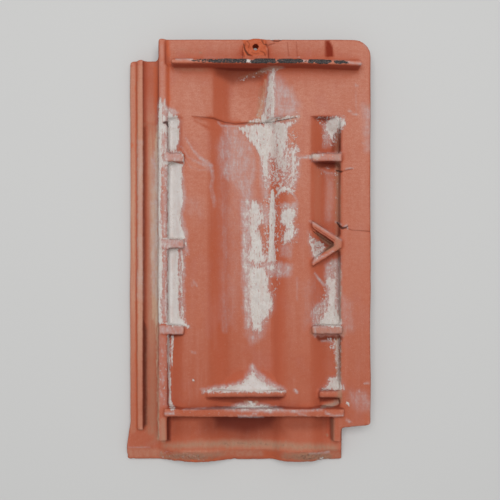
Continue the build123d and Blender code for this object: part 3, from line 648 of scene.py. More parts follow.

# Cracks, painted shadow lines below the steps, and score lines: strength, points with half widths
CRACKS = {
    "upper crack in the flange": (0.9, [(336.6, 170.6, 0.8), (341, 171.8, 0.9), (342.4, 171.4, 0.3)]),
    "end of the upper crack": (0.5, [
        (342.4, 171.4, 0.3), (346, 170.2, 0.4), (350, 169.2, 0.5), (352.6, 168.8, 0.3)]),
    "break in the far wall": (1.0, [
        (337, 222.6, 0.6), (339.4, 226, 1.0), (342, 228.2, 1.2), (346, 227.6, 0.7), (348, 226, 0.3)]),
    "lower crack in the flange": (0.55, [
        (346, 228, 0.3), (352, 230.2, 0.25), (360, 230.6, 0.3), (372, 231.6, 0.45)]),
    # A painted shadow line along the head step, also cut in a little
    "shadow line in the lime at the head step": (0.6, [
        (261, 123.6, 0.3), (270, 122.5, 0.4), (281, 120.3, 0.4), (296, 117.5, 0.3)]),
    "crack at the head edge": (0.8, [
        (270.6, 39.4, 0.5), (274, 41, 0.6), (278, 41.2, 0.5), (281.4, 40, 0.4)]),
    "second crack at the head edge": (0.5, [(267, 46.4, 0.4), (270, 44.8, 0.4), (275, 43.4, 0.3)]),
    "pit in the clump": (1.0, [(163.8, 122.8, 0.9), (166.6, 122.4, 1.4), (168.2, 127, 0.5)]),
    "crack in the nail boss": (0.9, [(243.6, 44, 0.4), (245, 50, 0.8), (248, 54.6, 1.0), (252, 56, 0.6)]),
    "second crack in the nail boss": (0.7, [(262, 40.4, 0.5), (263.4, 44, 0.5), (267, 45, 0.6)]),
    "third crack in the nail boss": (0.6, [(247, 41, 0.3), (249.4, 44, 0.4), (248.4, 48, 0.3)]),
    "fourth crack in the nail boss": (0.6, [(260, 51, 0.3), (264, 52.6, 0.5), (265.6, 56, 0.6)]),
    "fifth crack in the nail boss": (0.5, [(252, 52.6, 0.3), (256, 54, 0.4), (259, 53, 0.3)]),
    "chips under the near nose": (0.35, [
        (176, 461, 0.5), (186, 462.4, 0.7), (198, 463, 0.5), (206, 462.4, 0.6)]),
}
STEP_SHADOW_LINES = {
    "near half of the head step": (1.0, [
        (192, 115.8, 0.1), (204, 117.2, 0.6), (214, 118.6, 0.9), (225, 122.4, 0.6), (236, 124, 0.5),
        (248, 122.8, 0.7)]),
    "far half of the head step": (1.0, [
        (248, 122.8, 0.5), (262, 123.4, 0.5), (280, 120.6, 0.5), (297, 117.4, 0.4)]),
    "step in the far pocket": (0.8, [(311, 116.4, 0.4), (320, 117, 0.8), (330, 117, 0.7)]),
}
SCORES = {
    "near score on the head strip": (0.6, [(287.3, 42.6, 0.35), (288.8, 57.4, 0.4)]),
    "far score on the head strip": (0.6, [(296.2, 42, 0.35), (297.4, 57.4, 0.4)]),
    "first score in the chevron": (0.9, [(313.6, 231.6, 0.5), (321, 237.4, 0.5), (331, 243.8, 0.6)]),
    "second score in the chevron": (0.9, [(315, 227.8, 0.4), (324, 233.8, 0.5), (334, 240.4, 0.5)]),
}

# Seeds for what looks random
WARP_SEED = 3
LUMP_SEED = 5
GRAIN_SEED = 7
DRIFT_SEEDS = (11, 13)
RAGGED_SEEDS = (17, 19, 23, 29)
CHIP_SEED = 31
CRUMB_SEED = 37


def whole_cell_numbers(cells, seed):
    """Gives each whole-number cell a number from -1 to 1 that is the same in every run."""
    factored = cells * CELL_FACTORS
    mixed = factored[:, 0] ^ factored[:, 1] ^ factored[:, 2] ^ seed * SEED_FACTOR
    mixed = (mixed ^ (mixed >> 13)) * MIXING_FACTORS[0] & LOW_BITS
    mixed = (mixed ^ (mixed >> 16)) * MIXING_FACTORS[1] & LOW_BITS
    return (mixed >> 8) / float(NUMBER_BITS) * 2 - 1


def lumps(places, size, seed):
    """Smooth lumps of the given size, from -1 to 1, at each place."""
    scaled = places / size
    floor = np.floor(scaled)
    part = scaled - floor
    part = part * part * (3 - 2 * part)
    cells = floor.astype(np.int64)
    total = np.zeros(len(places))
    for step_x in (0, 1):
        for step_y in (0, 1):
            for step_z in (0, 1):
                step = np.array((step_x, step_y, step_z))
                share = np.prod(np.where(step, part, 1 - part), axis=1)
                total += share * whole_cell_numbers(cells + step, seed)
    return total


def rough_lumps(places, size, seed):
    """Lumps with finer lumps on them."""
    total = lumps(places, size, seed)
    for smaller, share, seed_step in FINER_LUMPS:
        total += share * lumps(places, size / smaller, seed + seed_step)
    return total / ROUGH_LUMPS_SUM


def ramp(value, low, high):
    """Rises smoothly from 0 at low to 1 at high."""
    share = np.clip((value - low) / (high - low), 0, 1)
    return share * share * (3 - 2 * share)


def seen_places(places):
    """Where each place lies in the camera's square frame."""
    reach = FOCUS / (CAMERA_STAND.z - places[:, 2])
    across = FRAME_SIDE / 2 + (places[:, 0] - CAMERA_STAND.x) * reach
    down = FRAME_SIDE / 2 - (places[:, 1] - CAMERA_STAND.y) * reach
    return np.column_stack((across, down))


def nearness(seen, first, second):
    """Distance of each seen place from a straight run, and the share of the run where it is nearest."""
    start = np.array(first[:2], float)
    along = np.array(second[:2], float) - start
    share = np.clip((seen - start) @ along / (along @ along), 0, 1)
    return np.linalg.norm(seen - start - share[:, None] * along, axis=1), share


def route_depth(seen, route):
    """How deep each seen place lies inside a route of changing width; outside it is negative."""
    depth = np.full(len(seen), -FAR_AWAY)
    for first, second in zip(route, route[1:]):
        distance, share = nearness(seen, first, second)
        depth = np.maximum(depth, first[2] + (second[2] - first[2]) * share - distance)
    return depth


def outline_depth(seen, corners):
    """How deep each seen place lies inside an outline; outside it is negative."""
    inside = np.zeros(len(seen), bool)
    nearest = np.full(len(seen), FAR_AWAY)
    for first, second in zip(corners, corners[1:] + corners[:1]):
        nearest = np.minimum(nearest, nearness(seen, first, second)[0])
        rise = second[1] - first[1]
        if rise:
            crossing = first[0] + (second[0] - first[0]) * (seen[:, 1] - first[1]) / rise
            inside ^= ((first[1] > seen[:, 1]) != (second[1] > seen[:, 1])) & (seen[:, 0] < crossing)
    return np.where(inside, nearest, -nearest)


def streak_cover(seen, streaks, fade):
    """The strongest of several streaks at each seen place."""
    cover = np.zeros(len(seen))
    for strength, route in streaks.values():
        cover = np.maximum(cover, strength * ramp(route_depth(seen, route), -fade, fade))
    return cover


def patch_cover(seen, patches, halo=0.0):
    """The strongest of several patches at each seen place, fading further out where there is a halo."""
    cover = np.zeros(len(seen))
    for strength, fade, corners in patches.values():
        cover = np.maximum(cover, strength * ramp(outline_depth(seen, corners), -fade - halo, fade + halo))
    return cover


def drift_cover(seen, heights):
    """Thick lime against the bars, up to its own level."""
    cover = np.zeros(len(seen))
    for strength, fade, level, corners in LIME_DRIFT_TOPS.values():
        spread = strength * ramp(outline_depth(seen, corners), -fade, fade)
        low, high = (level + step for step in DRIFT_TOP_FADE)
        cover = np.maximum(cover, spread * ramp(heights, low, high))
    return cover


def shaded_cover(seen, streaks):
    """The strongest of several streaks whose strength changes along the way."""
    cover = np.zeros(len(seen))
    for fade, route in streaks.values():
        for first, second in zip(route, route[1:]):
            distance, share = nearness(seen, first, second)
            width = first[2] + (second[2] - first[2]) * share
            strength = first[3] + (second[3] - first[3]) * share
            cover = np.maximum(cover, strength * ramp(width - distance, -fade, fade))
    return cover


def inside_any(seen, outlines, fade):
    """Rises to 1 inside any of several outlines."""
    cover = np.zeros(len(seen))
    for corners in outlines.values():
        cover = np.maximum(cover, ramp(outline_depth(seen, corners), -fade, fade))
    return cover


def mesh_places(mesh):
    """The places of a mesh's points, in metres."""
    flat = np.empty(len(mesh.vertices) * 3, np.float32)
    mesh.vertices.foreach_get("co", flat)
    return flat.reshape(-1, 3).astype(float)


def mesh_facings(mesh):
    """Which way the skin looks at each of its points."""
    flat = np.empty(len(mesh.vertices) * 3, np.float32)
    mesh.vertex_normals.foreach_get("vector", flat)
    return flat.reshape(-1, 3).astype(float)


def move_mesh(mesh, places):
    """Puts the mesh's points at new places."""
    mesh.vertices.foreach_set("co", places.astype(np.float32).ravel())
    mesh.update()


class Neighbours:
    """Which points of a mesh an edge joins."""

    def __init__(self, mesh):
        ends = np.empty(len(mesh.edges) * 2, np.int32)
        mesh.edges.foreach_get("vertices", ends)
        self.first, self.second = ends.reshape(-1, 2).T
        self.count = len(mesh.vertices)
        self.links = np.maximum(np.bincount(ends, minlength=self.count), 1)

    def mean(self, values):
        total = np.bincount(self.first, values[self.second], self.count)
        total += np.bincount(self.second, values[self.first], self.count)
        return total / self.links

    def evened(self, values, rounds):
        for _ in range(rounds):
            values = 0.5 * values + 0.5 * self.mean(values)
        return values


def bend_sharpness(neighbours, places, facings):
    """Positive on worn outer edges and negative in inner corners."""
    middle = np.column_stack([neighbours.mean(places[:, axis]) for axis in range(3)])
    return BEND_SCALE * neighbours.evened(np.einsum("ij,ij->i", places - middle, facings), BEND_ROUNDS)


def finish_modifier(piece, modifier):
    """Makes a modifier's result the piece's own mesh."""
    depsgraph = bpy.context.evaluated_depsgraph_get()
    old = piece.data
    made = bpy.data.meshes.new_from_object(piece.evaluated_get(depsgraph))
    piece.modifiers.remove(modifier)
    piece.data = made
    bpy.data.meshes.remove(old)


def pressed_skin():
    """The tile's solid as one even skin with the soft edges of pressed clay."""
    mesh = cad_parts["roof_tile"].data.copy()
    mesh.materials.clear()
    shell = bmesh.new()
    shell.from_mesh(mesh)
    bmesh.ops.remove_doubles(shell, verts=shell.verts, dist=WELD_DISTANCE)
    shell.to_mesh(mesh)
    shell.free()
    tile = bpy.data.objects.new("clay_tile", mesh)
    bpy.context.scene.collection.objects.link(tile)
    remesh = tile.modifiers.new("even skin", "REMESH")
    remesh.mode = "VOXEL"
    remesh.voxel_size = PRESS_VOXEL
    finish_modifier(tile, remesh)
    soften = tile.modifiers.new("pressed edges", "SMOOTH")
    soften.factor = PRESS_SOFTNESS
    soften.iterations = PRESS_SMOOTHING
    finish_modifier(tile, soften)
    return tile


def thin_weather_face(tile):
    """Leaves the dense skin on the ribbed back and thins the plain weather face."""
    facings = mesh_facings(tile.data)
    weather = tile.vertex_groups.new(name="weather_face")
    below = np.flatnonzero(facings[:, 2] < WEATHER_FACING)
    weather.add(below.tolist(), 1.0, "REPLACE")
    tile.data.calc_loop_triangles()
    thin = tile.modifiers.new("thin weather face", "DECIMATE")
    thin.ratio = SKIN_TRIANGLES / len(tile.data.loop_triangles)
    thin.vertex_group = weather.name
    thin.vertex_group_factor = WEATHER_THINNING
    thin.use_collapse_triangulate = True
    finish_modifier(tile, thin)
    tile.vertex_groups.clear()


def refine_fine_lines(tile):
    """Divides the skin more closely along cracks, scores, the painted shadow lines of the steps and tar, and
    on the nail boss.
    """
    mesh = tile.data
    places = mesh_places(mesh)
    facings = mesh_facings(mesh)
    seen = seen_places(places)
    fine = np.zeros(len(places), bool)
    for lines in (CRACKS, SCORES, STEP_SHADOW_LINES):
        for _, route in lines.values():
            fine |= route_depth(seen, route) > -FINE_REACH
    for _, route in TAR_STREAKS.values():
        fine |= route_depth(seen, route) > -FINE_REACH / 2
    fine |= outline_depth(seen, CRUMBLY_PATCHES["nail boss"]) > 0
    fine &= facings[:, 2] > BACK_FACING
    shell = bmesh.new()
    shell.from_mesh(mesh)
    shell.verts.ensure_lookup_table()
    edges = [edge for edge in shell.edges if fine[edge.verts[0].index] and fine[edge.verts[1].index]]
    bmesh.ops.subdivide_edges(shell, edges=edges, cuts=FINE_CUTS, use_grid_fill=True)
    bmesh.ops.triangulate(shell, faces=[face for face in shell.faces if len(face.verts) > 3])
    shell.to_mesh(mesh)
    shell.free()
    mesh.update()


def frayed_places(places):
    """Seen places shifted a little, so that the edges of deposits fray along the slope."""
    columns = places * FRAY_STRETCH
    coarse, fine = FRAY_SIZES
    seen = seen_places(places)
    seen[:, 0] += FRAY_ACROSS[0] * lumps(places, coarse, RAGGED_SEEDS[0])
    seen[:, 0] += FRAY_ACROSS[1] * lumps(places, fine, RAGGED_SEEDS[1])
    seen[:, 1] += FRAY_DOWN[0] * lumps(places, coarse, RAGGED_SEEDS[2])
    seen[:, 1] += FRAY_DOWN[1] * lumps(columns, fine, RAGGED_SEEDS[3])
    return seen


def in_sight_past_the_nib(places):
    """0 on the foot of the nib towards the head, which the crown hides, and 1 elsewhere."""
    start, end = NIB_SHELTER
    behind = ramp(places[:, 1], start, start + NIB_SHELTER_FADE)
    behind *= ramp(places[:, 1], end + NIB_SHELTER_FADE, end)
    return 1 - behind * ramp(places[:, 2], *UNDER_THE_CROWN)


def deposits_on(places, facings):
    """What lies on the clay at each place, and where shade or light is painted, each from 0 to 1."""
    ragged = frayed_places(places)
    clean = seen_places(places)
    towards_camera = np.array(CAMERA_STAND) - places
    towards_camera /= np.linalg.norm(towards_camera, axis=1)[:, None]
    above = ramp(np.einsum("ij,ij->i", facings, towards_camera), *IN_SIGHT) * in_sight_past_the_nib(places)
    on_crown = ramp(facings[:, 2], *CROWN_FACING) * ramp(places[:, 2], *CROWN_LEVEL)
    wavering = WAVERING_SHARE * ragged + (1 - WAVERING_SHARE) * clean
    tarred = TAR_FRAY_SHARE * ragged + (1 - TAR_FRAY_SHARE) * clean
    halo = HALO_STRENGTH * patch_cover(wavering, LIME_CRUSTS, HALO_REACH)
    film = np.maximum(patch_cover(ragged, LIME_FILMS), streak_cover(wavering, LIME_TRACES, STREAK_FADE))
    dirt = np.maximum(streak_cover(wavering, DIRT_STREAKS, STREAK_FADE), shaded_cover(ragged, SETTLED_DIRT))
    lime = np.maximum(patch_cover(ragged, LIME_CRUSTS), streak_cover(wavering, LIME_RUNS, STREAK_FADE))
    lime *= 1 - patch_cover(ragged, LIME_GAPS)
    scores = SCORE_STRENGTH * streak_cover(clean, SCORES, SCORE_FADE)
    return {
        "lime": np.maximum(lime, drift_cover(wavering, places[:, 2])) * above,
        "film": np.maximum(film, halo) * above,
        "flecks": patch_cover(ragged, LIME_FLECKS) * above,
        "tar": streak_cover(tarred, TAR_STREAKS, TAR_FADE) * on_crown,
        "dirt": dirt * above,
        "growth": streak_cover(ragged, GROWTH_STREAKS, STREAK_FADE) * above,
        "broken": patch_cover(ragged, BREAK_PATCHES) * above,
        "bleach_and_painted_light": shaded_cover(wavering, BLEACH_AND_PAINTED_LIGHT_STREAKS) * above,
        "painted_shade": patch_cover(wavering, PAINTED_SHADE_PATCHES) * above * ramp(places[:, 2], *PAINTED_SHADE_LEVEL),
        "crack": streak_cover(clean, CRACKS, CRACK_FADE) * above,
        "score_and_step_shadow": np.maximum(scores, streak_cover(clean, STEP_SHADOW_LINES, STEP_SHADOW_FADE)) * above,
        "raked": ramp(outline_depth(clean, RAKE_HOLLOW_OUTLINE), *RAKE_SHADE_FADE) * above,
    }


def settle_drifts(places, facings):
    """Lifts the skin to the top of the lime that settled against the bars."""
    rough = DRIFT_ROUGHNESS * rough_lumps(places, LIME_LUMP_SIZE, GRAIN_SEED + 3)
    on_the_back = (facings[:, 2] > DRIFT_FACING) & (places[:, 2] > DRIFT_FLOOR)
    for bar_side, middle, half_width, level, fall, side_fall in LIME_DRIFTS.values():
        from_bar = places[:, 1] - bar_side
        from_middle = np.abs(places[:, 0] - middle)
        top = level - fall * from_bar - side_fall * from_middle + rough
        under = on_the_back & (from_bar * np.sign(fall) > -DRIFT_OVERLAP) & (from_middle < half_width)
        under &= places[:, 2] < top
        places[under, 2] = top[under]


def spread_hook(places, facings):
    """Widens the crown of the edge hook a little to both sides."""
    from_hook = places[:, 0] - HOOK_MIDDLE
    hook = ramp(places[:, 2], *HOOK_FOOT) * ramp(np.abs(from_hook), *HOOK_SIDE)
    hook *= ramp(facings[:, 2], *HOOK_FACING)
    places[:, 0] += HOOK_SPREAD * hook * np.clip(from_hook / HOOK_CORE, -1, 1)


def narrow_nail_hole(places, facings):
    """Gives the nail hole a wall that narrows towards the weather face."""
    from_nail = places[:, :2] - NAIL_AXIS
    radius = np.linalg.norm(from_nail, axis=1)
    wall = (radius < NAIL_REACH) & (np.abs(facings[:, 2]) < NAIL_WALL_FACING)
    bore = NAIL_FOOT_RADIUS + (NAIL_RADIUS - NAIL_FOOT_RADIUS) * ramp(places[:, 2], *NAIL_DEPTH)
    places[wall, :2] += from_nail[wall] * (bore[wall] / radius[wall] - 1)[:, None]


def work_the_clay(tile):
    """Moves the skin: firing warp, lumps, chips, cracks, and the thickness of lime and tar."""
    mesh = tile.data
    places = mesh_places(mesh)
    facings = mesh_facings(mesh)
    cover = deposits_on(places, facings)
    seen = seen_places(places)
    nib = ramp(places[:, 1], *NIB_TAIL_SIDE) * ramp(places[:, 1], *NIB_HEAD_SIDE)
    nib *= ramp(places[:, 2], *NIB_FOOT)
    height = WARP_DEPTH * lumps(places, WARP_SIZE, WARP_SEED)
    height += LUMP_DEPTH * lumps(places, LUMP_SIZE, LUMP_SEED)
    height += GRAIN_DEPTH * rough_lumps(places, GRAIN_SIZE, GRAIN_SEED)
    lime_lumps = LIME_EVEN + LIME_LUMPY * rough_lumps(places, LIME_LUMP_SIZE, GRAIN_SEED + 1)
    height += LIME_BUILD_UP * cover["lime"] ** 2 * lime_lumps
    tar_lumps = TAR_EVEN + TAR_LUMPY * rough_lumps(places, TAR_LUMP_SIZE, GRAIN_SEED + 2)
    height += TAR_BUILD_UP * cover["tar"] * tar_lumps
    upward = ramp(facings[:, 2], *UPWARD_FACING)
    height -= CRACK_DEPTH * streak_cover(seen, CRACKS, GROOVE_FADE) * upward
    height -= SCORE_DEPTH * streak_cover(seen, SCORES, GROOVE_FADE) * upward
    level = ramp(facings[:, 2], *LEVEL_FACING)
    height -= STEP_HOLLOW * ramp(outline_depth(seen, STEP_HOLLOW_OUTLINE), *STEP_HOLLOW_FADE) * level
    height -= RAKE_HOLLOW * ramp(outline_depth(seen, RAKE_HOLLOW_OUTLINE), *RAKE_HOLLOW_FADE) * level
    carried = inside_any(seen, WEB_TOPS, WEB_TOP_FADE) * level * ramp(places[:, 2], *WEB_FOOT)
    height += carried * np.clip(WEB_TOP - places[:, 2], 0, 1)
    crumbly = inside_any(seen, CRUMBLY_PATCHES, CRUMBLY_FADE) * ramp(facings[:, 2], *CRUMBLY_FACING)
    height += CRUMBLE_DEPTH * crumbly * rough_lumps(places, CRUMBLE_SIZE, CHIP_SEED + 3)
    height += CHEVRON_RIDGE_HEIGHT * ramp(route_depth(seen, CHEVRON_RIDGE), -RIDGE_FADE, RIDGE_FADE) * level
    boss = BOSS_ROUGHNESS * ramp(outline_depth(seen, CRUMBLY_PATCHES["nail boss"]), *BOSS_FADE)
    boss *= ramp(places[:, 2], *BOSS_FOOT)
    height += boss * rough_lumps(places, BOSS_LUMP_SIZE, CHIP_SEED)
    nose = ramp(places[:, 1], *NOSE_EDGE)
    nose_chips = rough_lumps(places, NOSE_CHIP_SIZE, CHIP_SEED + 1) - NOSE_CHIPS_FROM
    height -= NOSE_CHIPPING * nose * np.clip(nose_chips, 0, 1)
    nib_chips = rough_lumps(places, NIB_CHIP_SIZE, CHIP_SEED + 2) - NIB_CHIPS_FROM
    height -= NIB_CHIPPING * nib * np.clip(nib_chips, 0, 1)
    places += facings * height[:, None]
    settle_drifts(places, facings)
    places[:, 0] += SIDEWAYS_DRIFT * lumps(places, SIDEWAYS_SIZE, DRIFT_SEEDS[0])
    places[:, 1] += SIDEWAYS_DRIFT * lumps(places, SIDEWAYS_SIZE, DRIFT_SEEDS[1])
    places[:, 1] -= NIB_SAG * nib * ramp(places[:, 0], *NIB_SAG_ACROSS)
    spread_hook(places, facings)
    narrow_nail_hole(places, facings)
    places[:, 2] = np.maximum(places[:, 2], 0.0)
    move_mesh(mesh, places)


def hidden_sky_at(places, facings):
    """How much of the sky the back around each place hides, from 0 to 1."""
    top = facings[:, 2] > HIDDEN_SKY_TOP_FACING
    margin = HIDDEN_SKY_STEPS[-1]
    cells = np.floor((places[:, :2] - places[:, :2].min(axis=0)) / HIDDEN_SKY_CELL).astype(int) + margin
    heights = np.zeros(cells.max(axis=0) + 1 + margin)
    np.maximum.at(heights, (cells[top, 0], cells[top, 1]), places[top, 2])
    for _ in range(2):
        beside = [np.roll(heights, step, axis) for axis in (0, 1) for step in (-1, 1)]
        around = np.stack(beside).max(axis=0)
        heights = np.where(heights > 0, heights, around)
    hidden = np.zeros(heights.shape)
    compass = ((1, 0), (1, 1), (0, 1), (-1, 1), (-1, 0), (-1, -1), (0, -1), (1, -1))
    for east, north in compass:
        rise = np.zeros(heights.shape)
        for step in HIDDEN_SKY_STEPS:
            further = np.roll(heights, (-step * east, -step * north), (0, 1))
            rise = np.maximum(rise, (further - heights) / (step * HIDDEN_SKY_CELL * np.hypot(east, north)))
        hidden += rise ** 2 / (1 + rise ** 2) / len(compass)
    for axis in (0, 1):
        hidden = (np.roll(hidden, 1, axis) + 2 * hidden + np.roll(hidden, -1, axis)) / 4
    return hidden[cells[:, 0], cells[:, 1]] * ramp(facings[:, 2], *HIDDEN_SKY_FACING)


def mark_the_clay(tile):
    """Writes what lies on the clay, how worn it is, and where shade and light are painted, to the skin."""
    mesh = tile.data
    places = mesh_places(mesh)
    facings = mesh_facings(mesh)
    marks = deposits_on(places, facings)
    neighbours = Neighbours(mesh)
    bend = bend_sharpness(neighbours, places, facings)
    marks["worn"] = ramp(bend, *BEND_LIMITS)
    # Inner corners: painted shade
    marks["corner_shade"] = ramp(-bend, *BEND_LIMITS) * (1 - BREAKS_WITHOUT_CORNER_SHADE * marks["broken"])
    # Share of sky hidden around each place: it sets the painted shade, and where it is high less dust is laid
    marks["hidden_sky"] = hidden_sky_at(places, facings)
    upward = facings[:, 2]
    # Painted light: slopes get a brighter, redder clay colour in place of the light they lack
    painted_slope_light = ramp(upward, *SLOPE_START) * ramp(upward, *SLOPE_END)
    marks["painted_slope_light"] = neighbours.evened(painted_slope_light, SLOPE_SOFTENING)
    # Painted shade: near-vertical walls get the dark red colour they show in shade
    marks["wall"] = ramp(upward, *WALL_START) * ramp(upward, *WALL_END)
    bare = ramp(marks["hidden_sky"], *OPEN_SKY) * (1 - marks["painted_shade"]) * (1 - marks["raked"])
    towards_head = ramp(places[:, 1], *TAIL_TO_HEAD)
    marks["dust"] = ramp(upward, *DUST_FACING) * (DUST_AT_TAIL + (1 - DUST_AT_TAIL) * towards_head) * bare
    marks["weather"] = ramp(-upward, *WEATHERED_FACING)
    for name, values in marks.items():
        layer = mesh.attributes.new(name, "FLOAT", "POINT")
        layer.data.foreach_set("value", values.astype(np.float32))


def paint(red, green, blue):
    """A colour written as it looks on a screen, from 0 to 255."""
    shares = [value / 255 for value in (red, green, blue)]
    linear = [share / 12.92 if share <= 0.04045 else ((share + 0.055) / 1.055) ** 2.4 for share in shares]
    return linear + [1.0]


class Finish:
    """A material whose nodes are written one after another."""

    def __init__(self, name):
        self.material = bpy.data.materials.new(name)
        self.material.use_nodes = True
        self.tree = self.material.node_tree
        self.shader = self.tree.nodes["Principled BSDF"]
        self.place = self.add("ShaderNodeTexCoord").outputs["Object"]
        self.colour = None

    def set(self, socket, value):
        if isinstance(value, bpy.types.NodeSocket):
            self.tree.links.new(value, socket)
        else:
            socket.default_value = value

    def add(self, kind, **settings):
        node = self.tree.nodes.new(kind)
        for name, value in settings.items():
            setattr(node, name, value)
        return node

    def noise(self, lumps_per_metre, detail=3.0, roughness=0.55, stretch=None):
        node = self.add("ShaderNodeTexNoise")
        place = self.place
        if stretch:
            mapping = self.add("ShaderNodeMapping")
            self.set(mapping.inputs["Vector"], place)
            mapping.inputs["Scale"].default_value = stretch
            place = mapping.outputs["Vector"]
        self.set(node.inputs["Vector"], place)
        node.inputs["Scale"].default_value = lumps_per_metre
        node.inputs["Detail"].default_value = detail
        node.inputs["Roughness"].default_value = roughness
        return node.outputs["Fac"]

    def mark(self, name):
        return self.add("ShaderNodeAttribute", attribute_name=name).outputs["Fac"]

    def calculate(self, operation, first, second, third=None):
        node = self.add("ShaderNodeMath", operation=operation)
        self.set(node.inputs[0], first)
        self.set(node.inputs[1], second)
        if third is not None:
            self.set(node.inputs[2], third)
        return node.outputs["Value"]

    def times(self, first, second):
        return self.calculate("MULTIPLY", first, second)

    def rise(self, value, low, high, least=0.0, most=1.0):
        node = self.add("ShaderNodeMapRange", interpolation_type="SMOOTHSTEP")
        self.set(node.inputs["Value"], value)
        node.inputs["From Min"].default_value = low
        node.inputs["From Max"].default_value = high
        node.inputs["To Min"].default_value = least
        node.inputs["To Max"].default_value = most
        return node.outputs["Result"]

    def blend(self, amount, under, over):
        node = self.add("ShaderNodeMix", data_type="RGBA")
        self.set(node.inputs["Factor"], amount)
        self.set(node.inputs[6], under)
        self.set(node.inputs[7], over)
        return node.outputs[2]

    def coat(self, amount, over):
        self.colour = self.blend(amount, self.colour, over)

    def roughen(self, height, strength, distance):
        bump = self.add("ShaderNodeBump")
        bump.inputs["Strength"].default_value = strength
        bump.inputs["Distance"].default_value = distance
        self.set(bump.inputs["Height"], height)
        self.set(self.shader.inputs["Normal"], bump.outputs["Normal"])


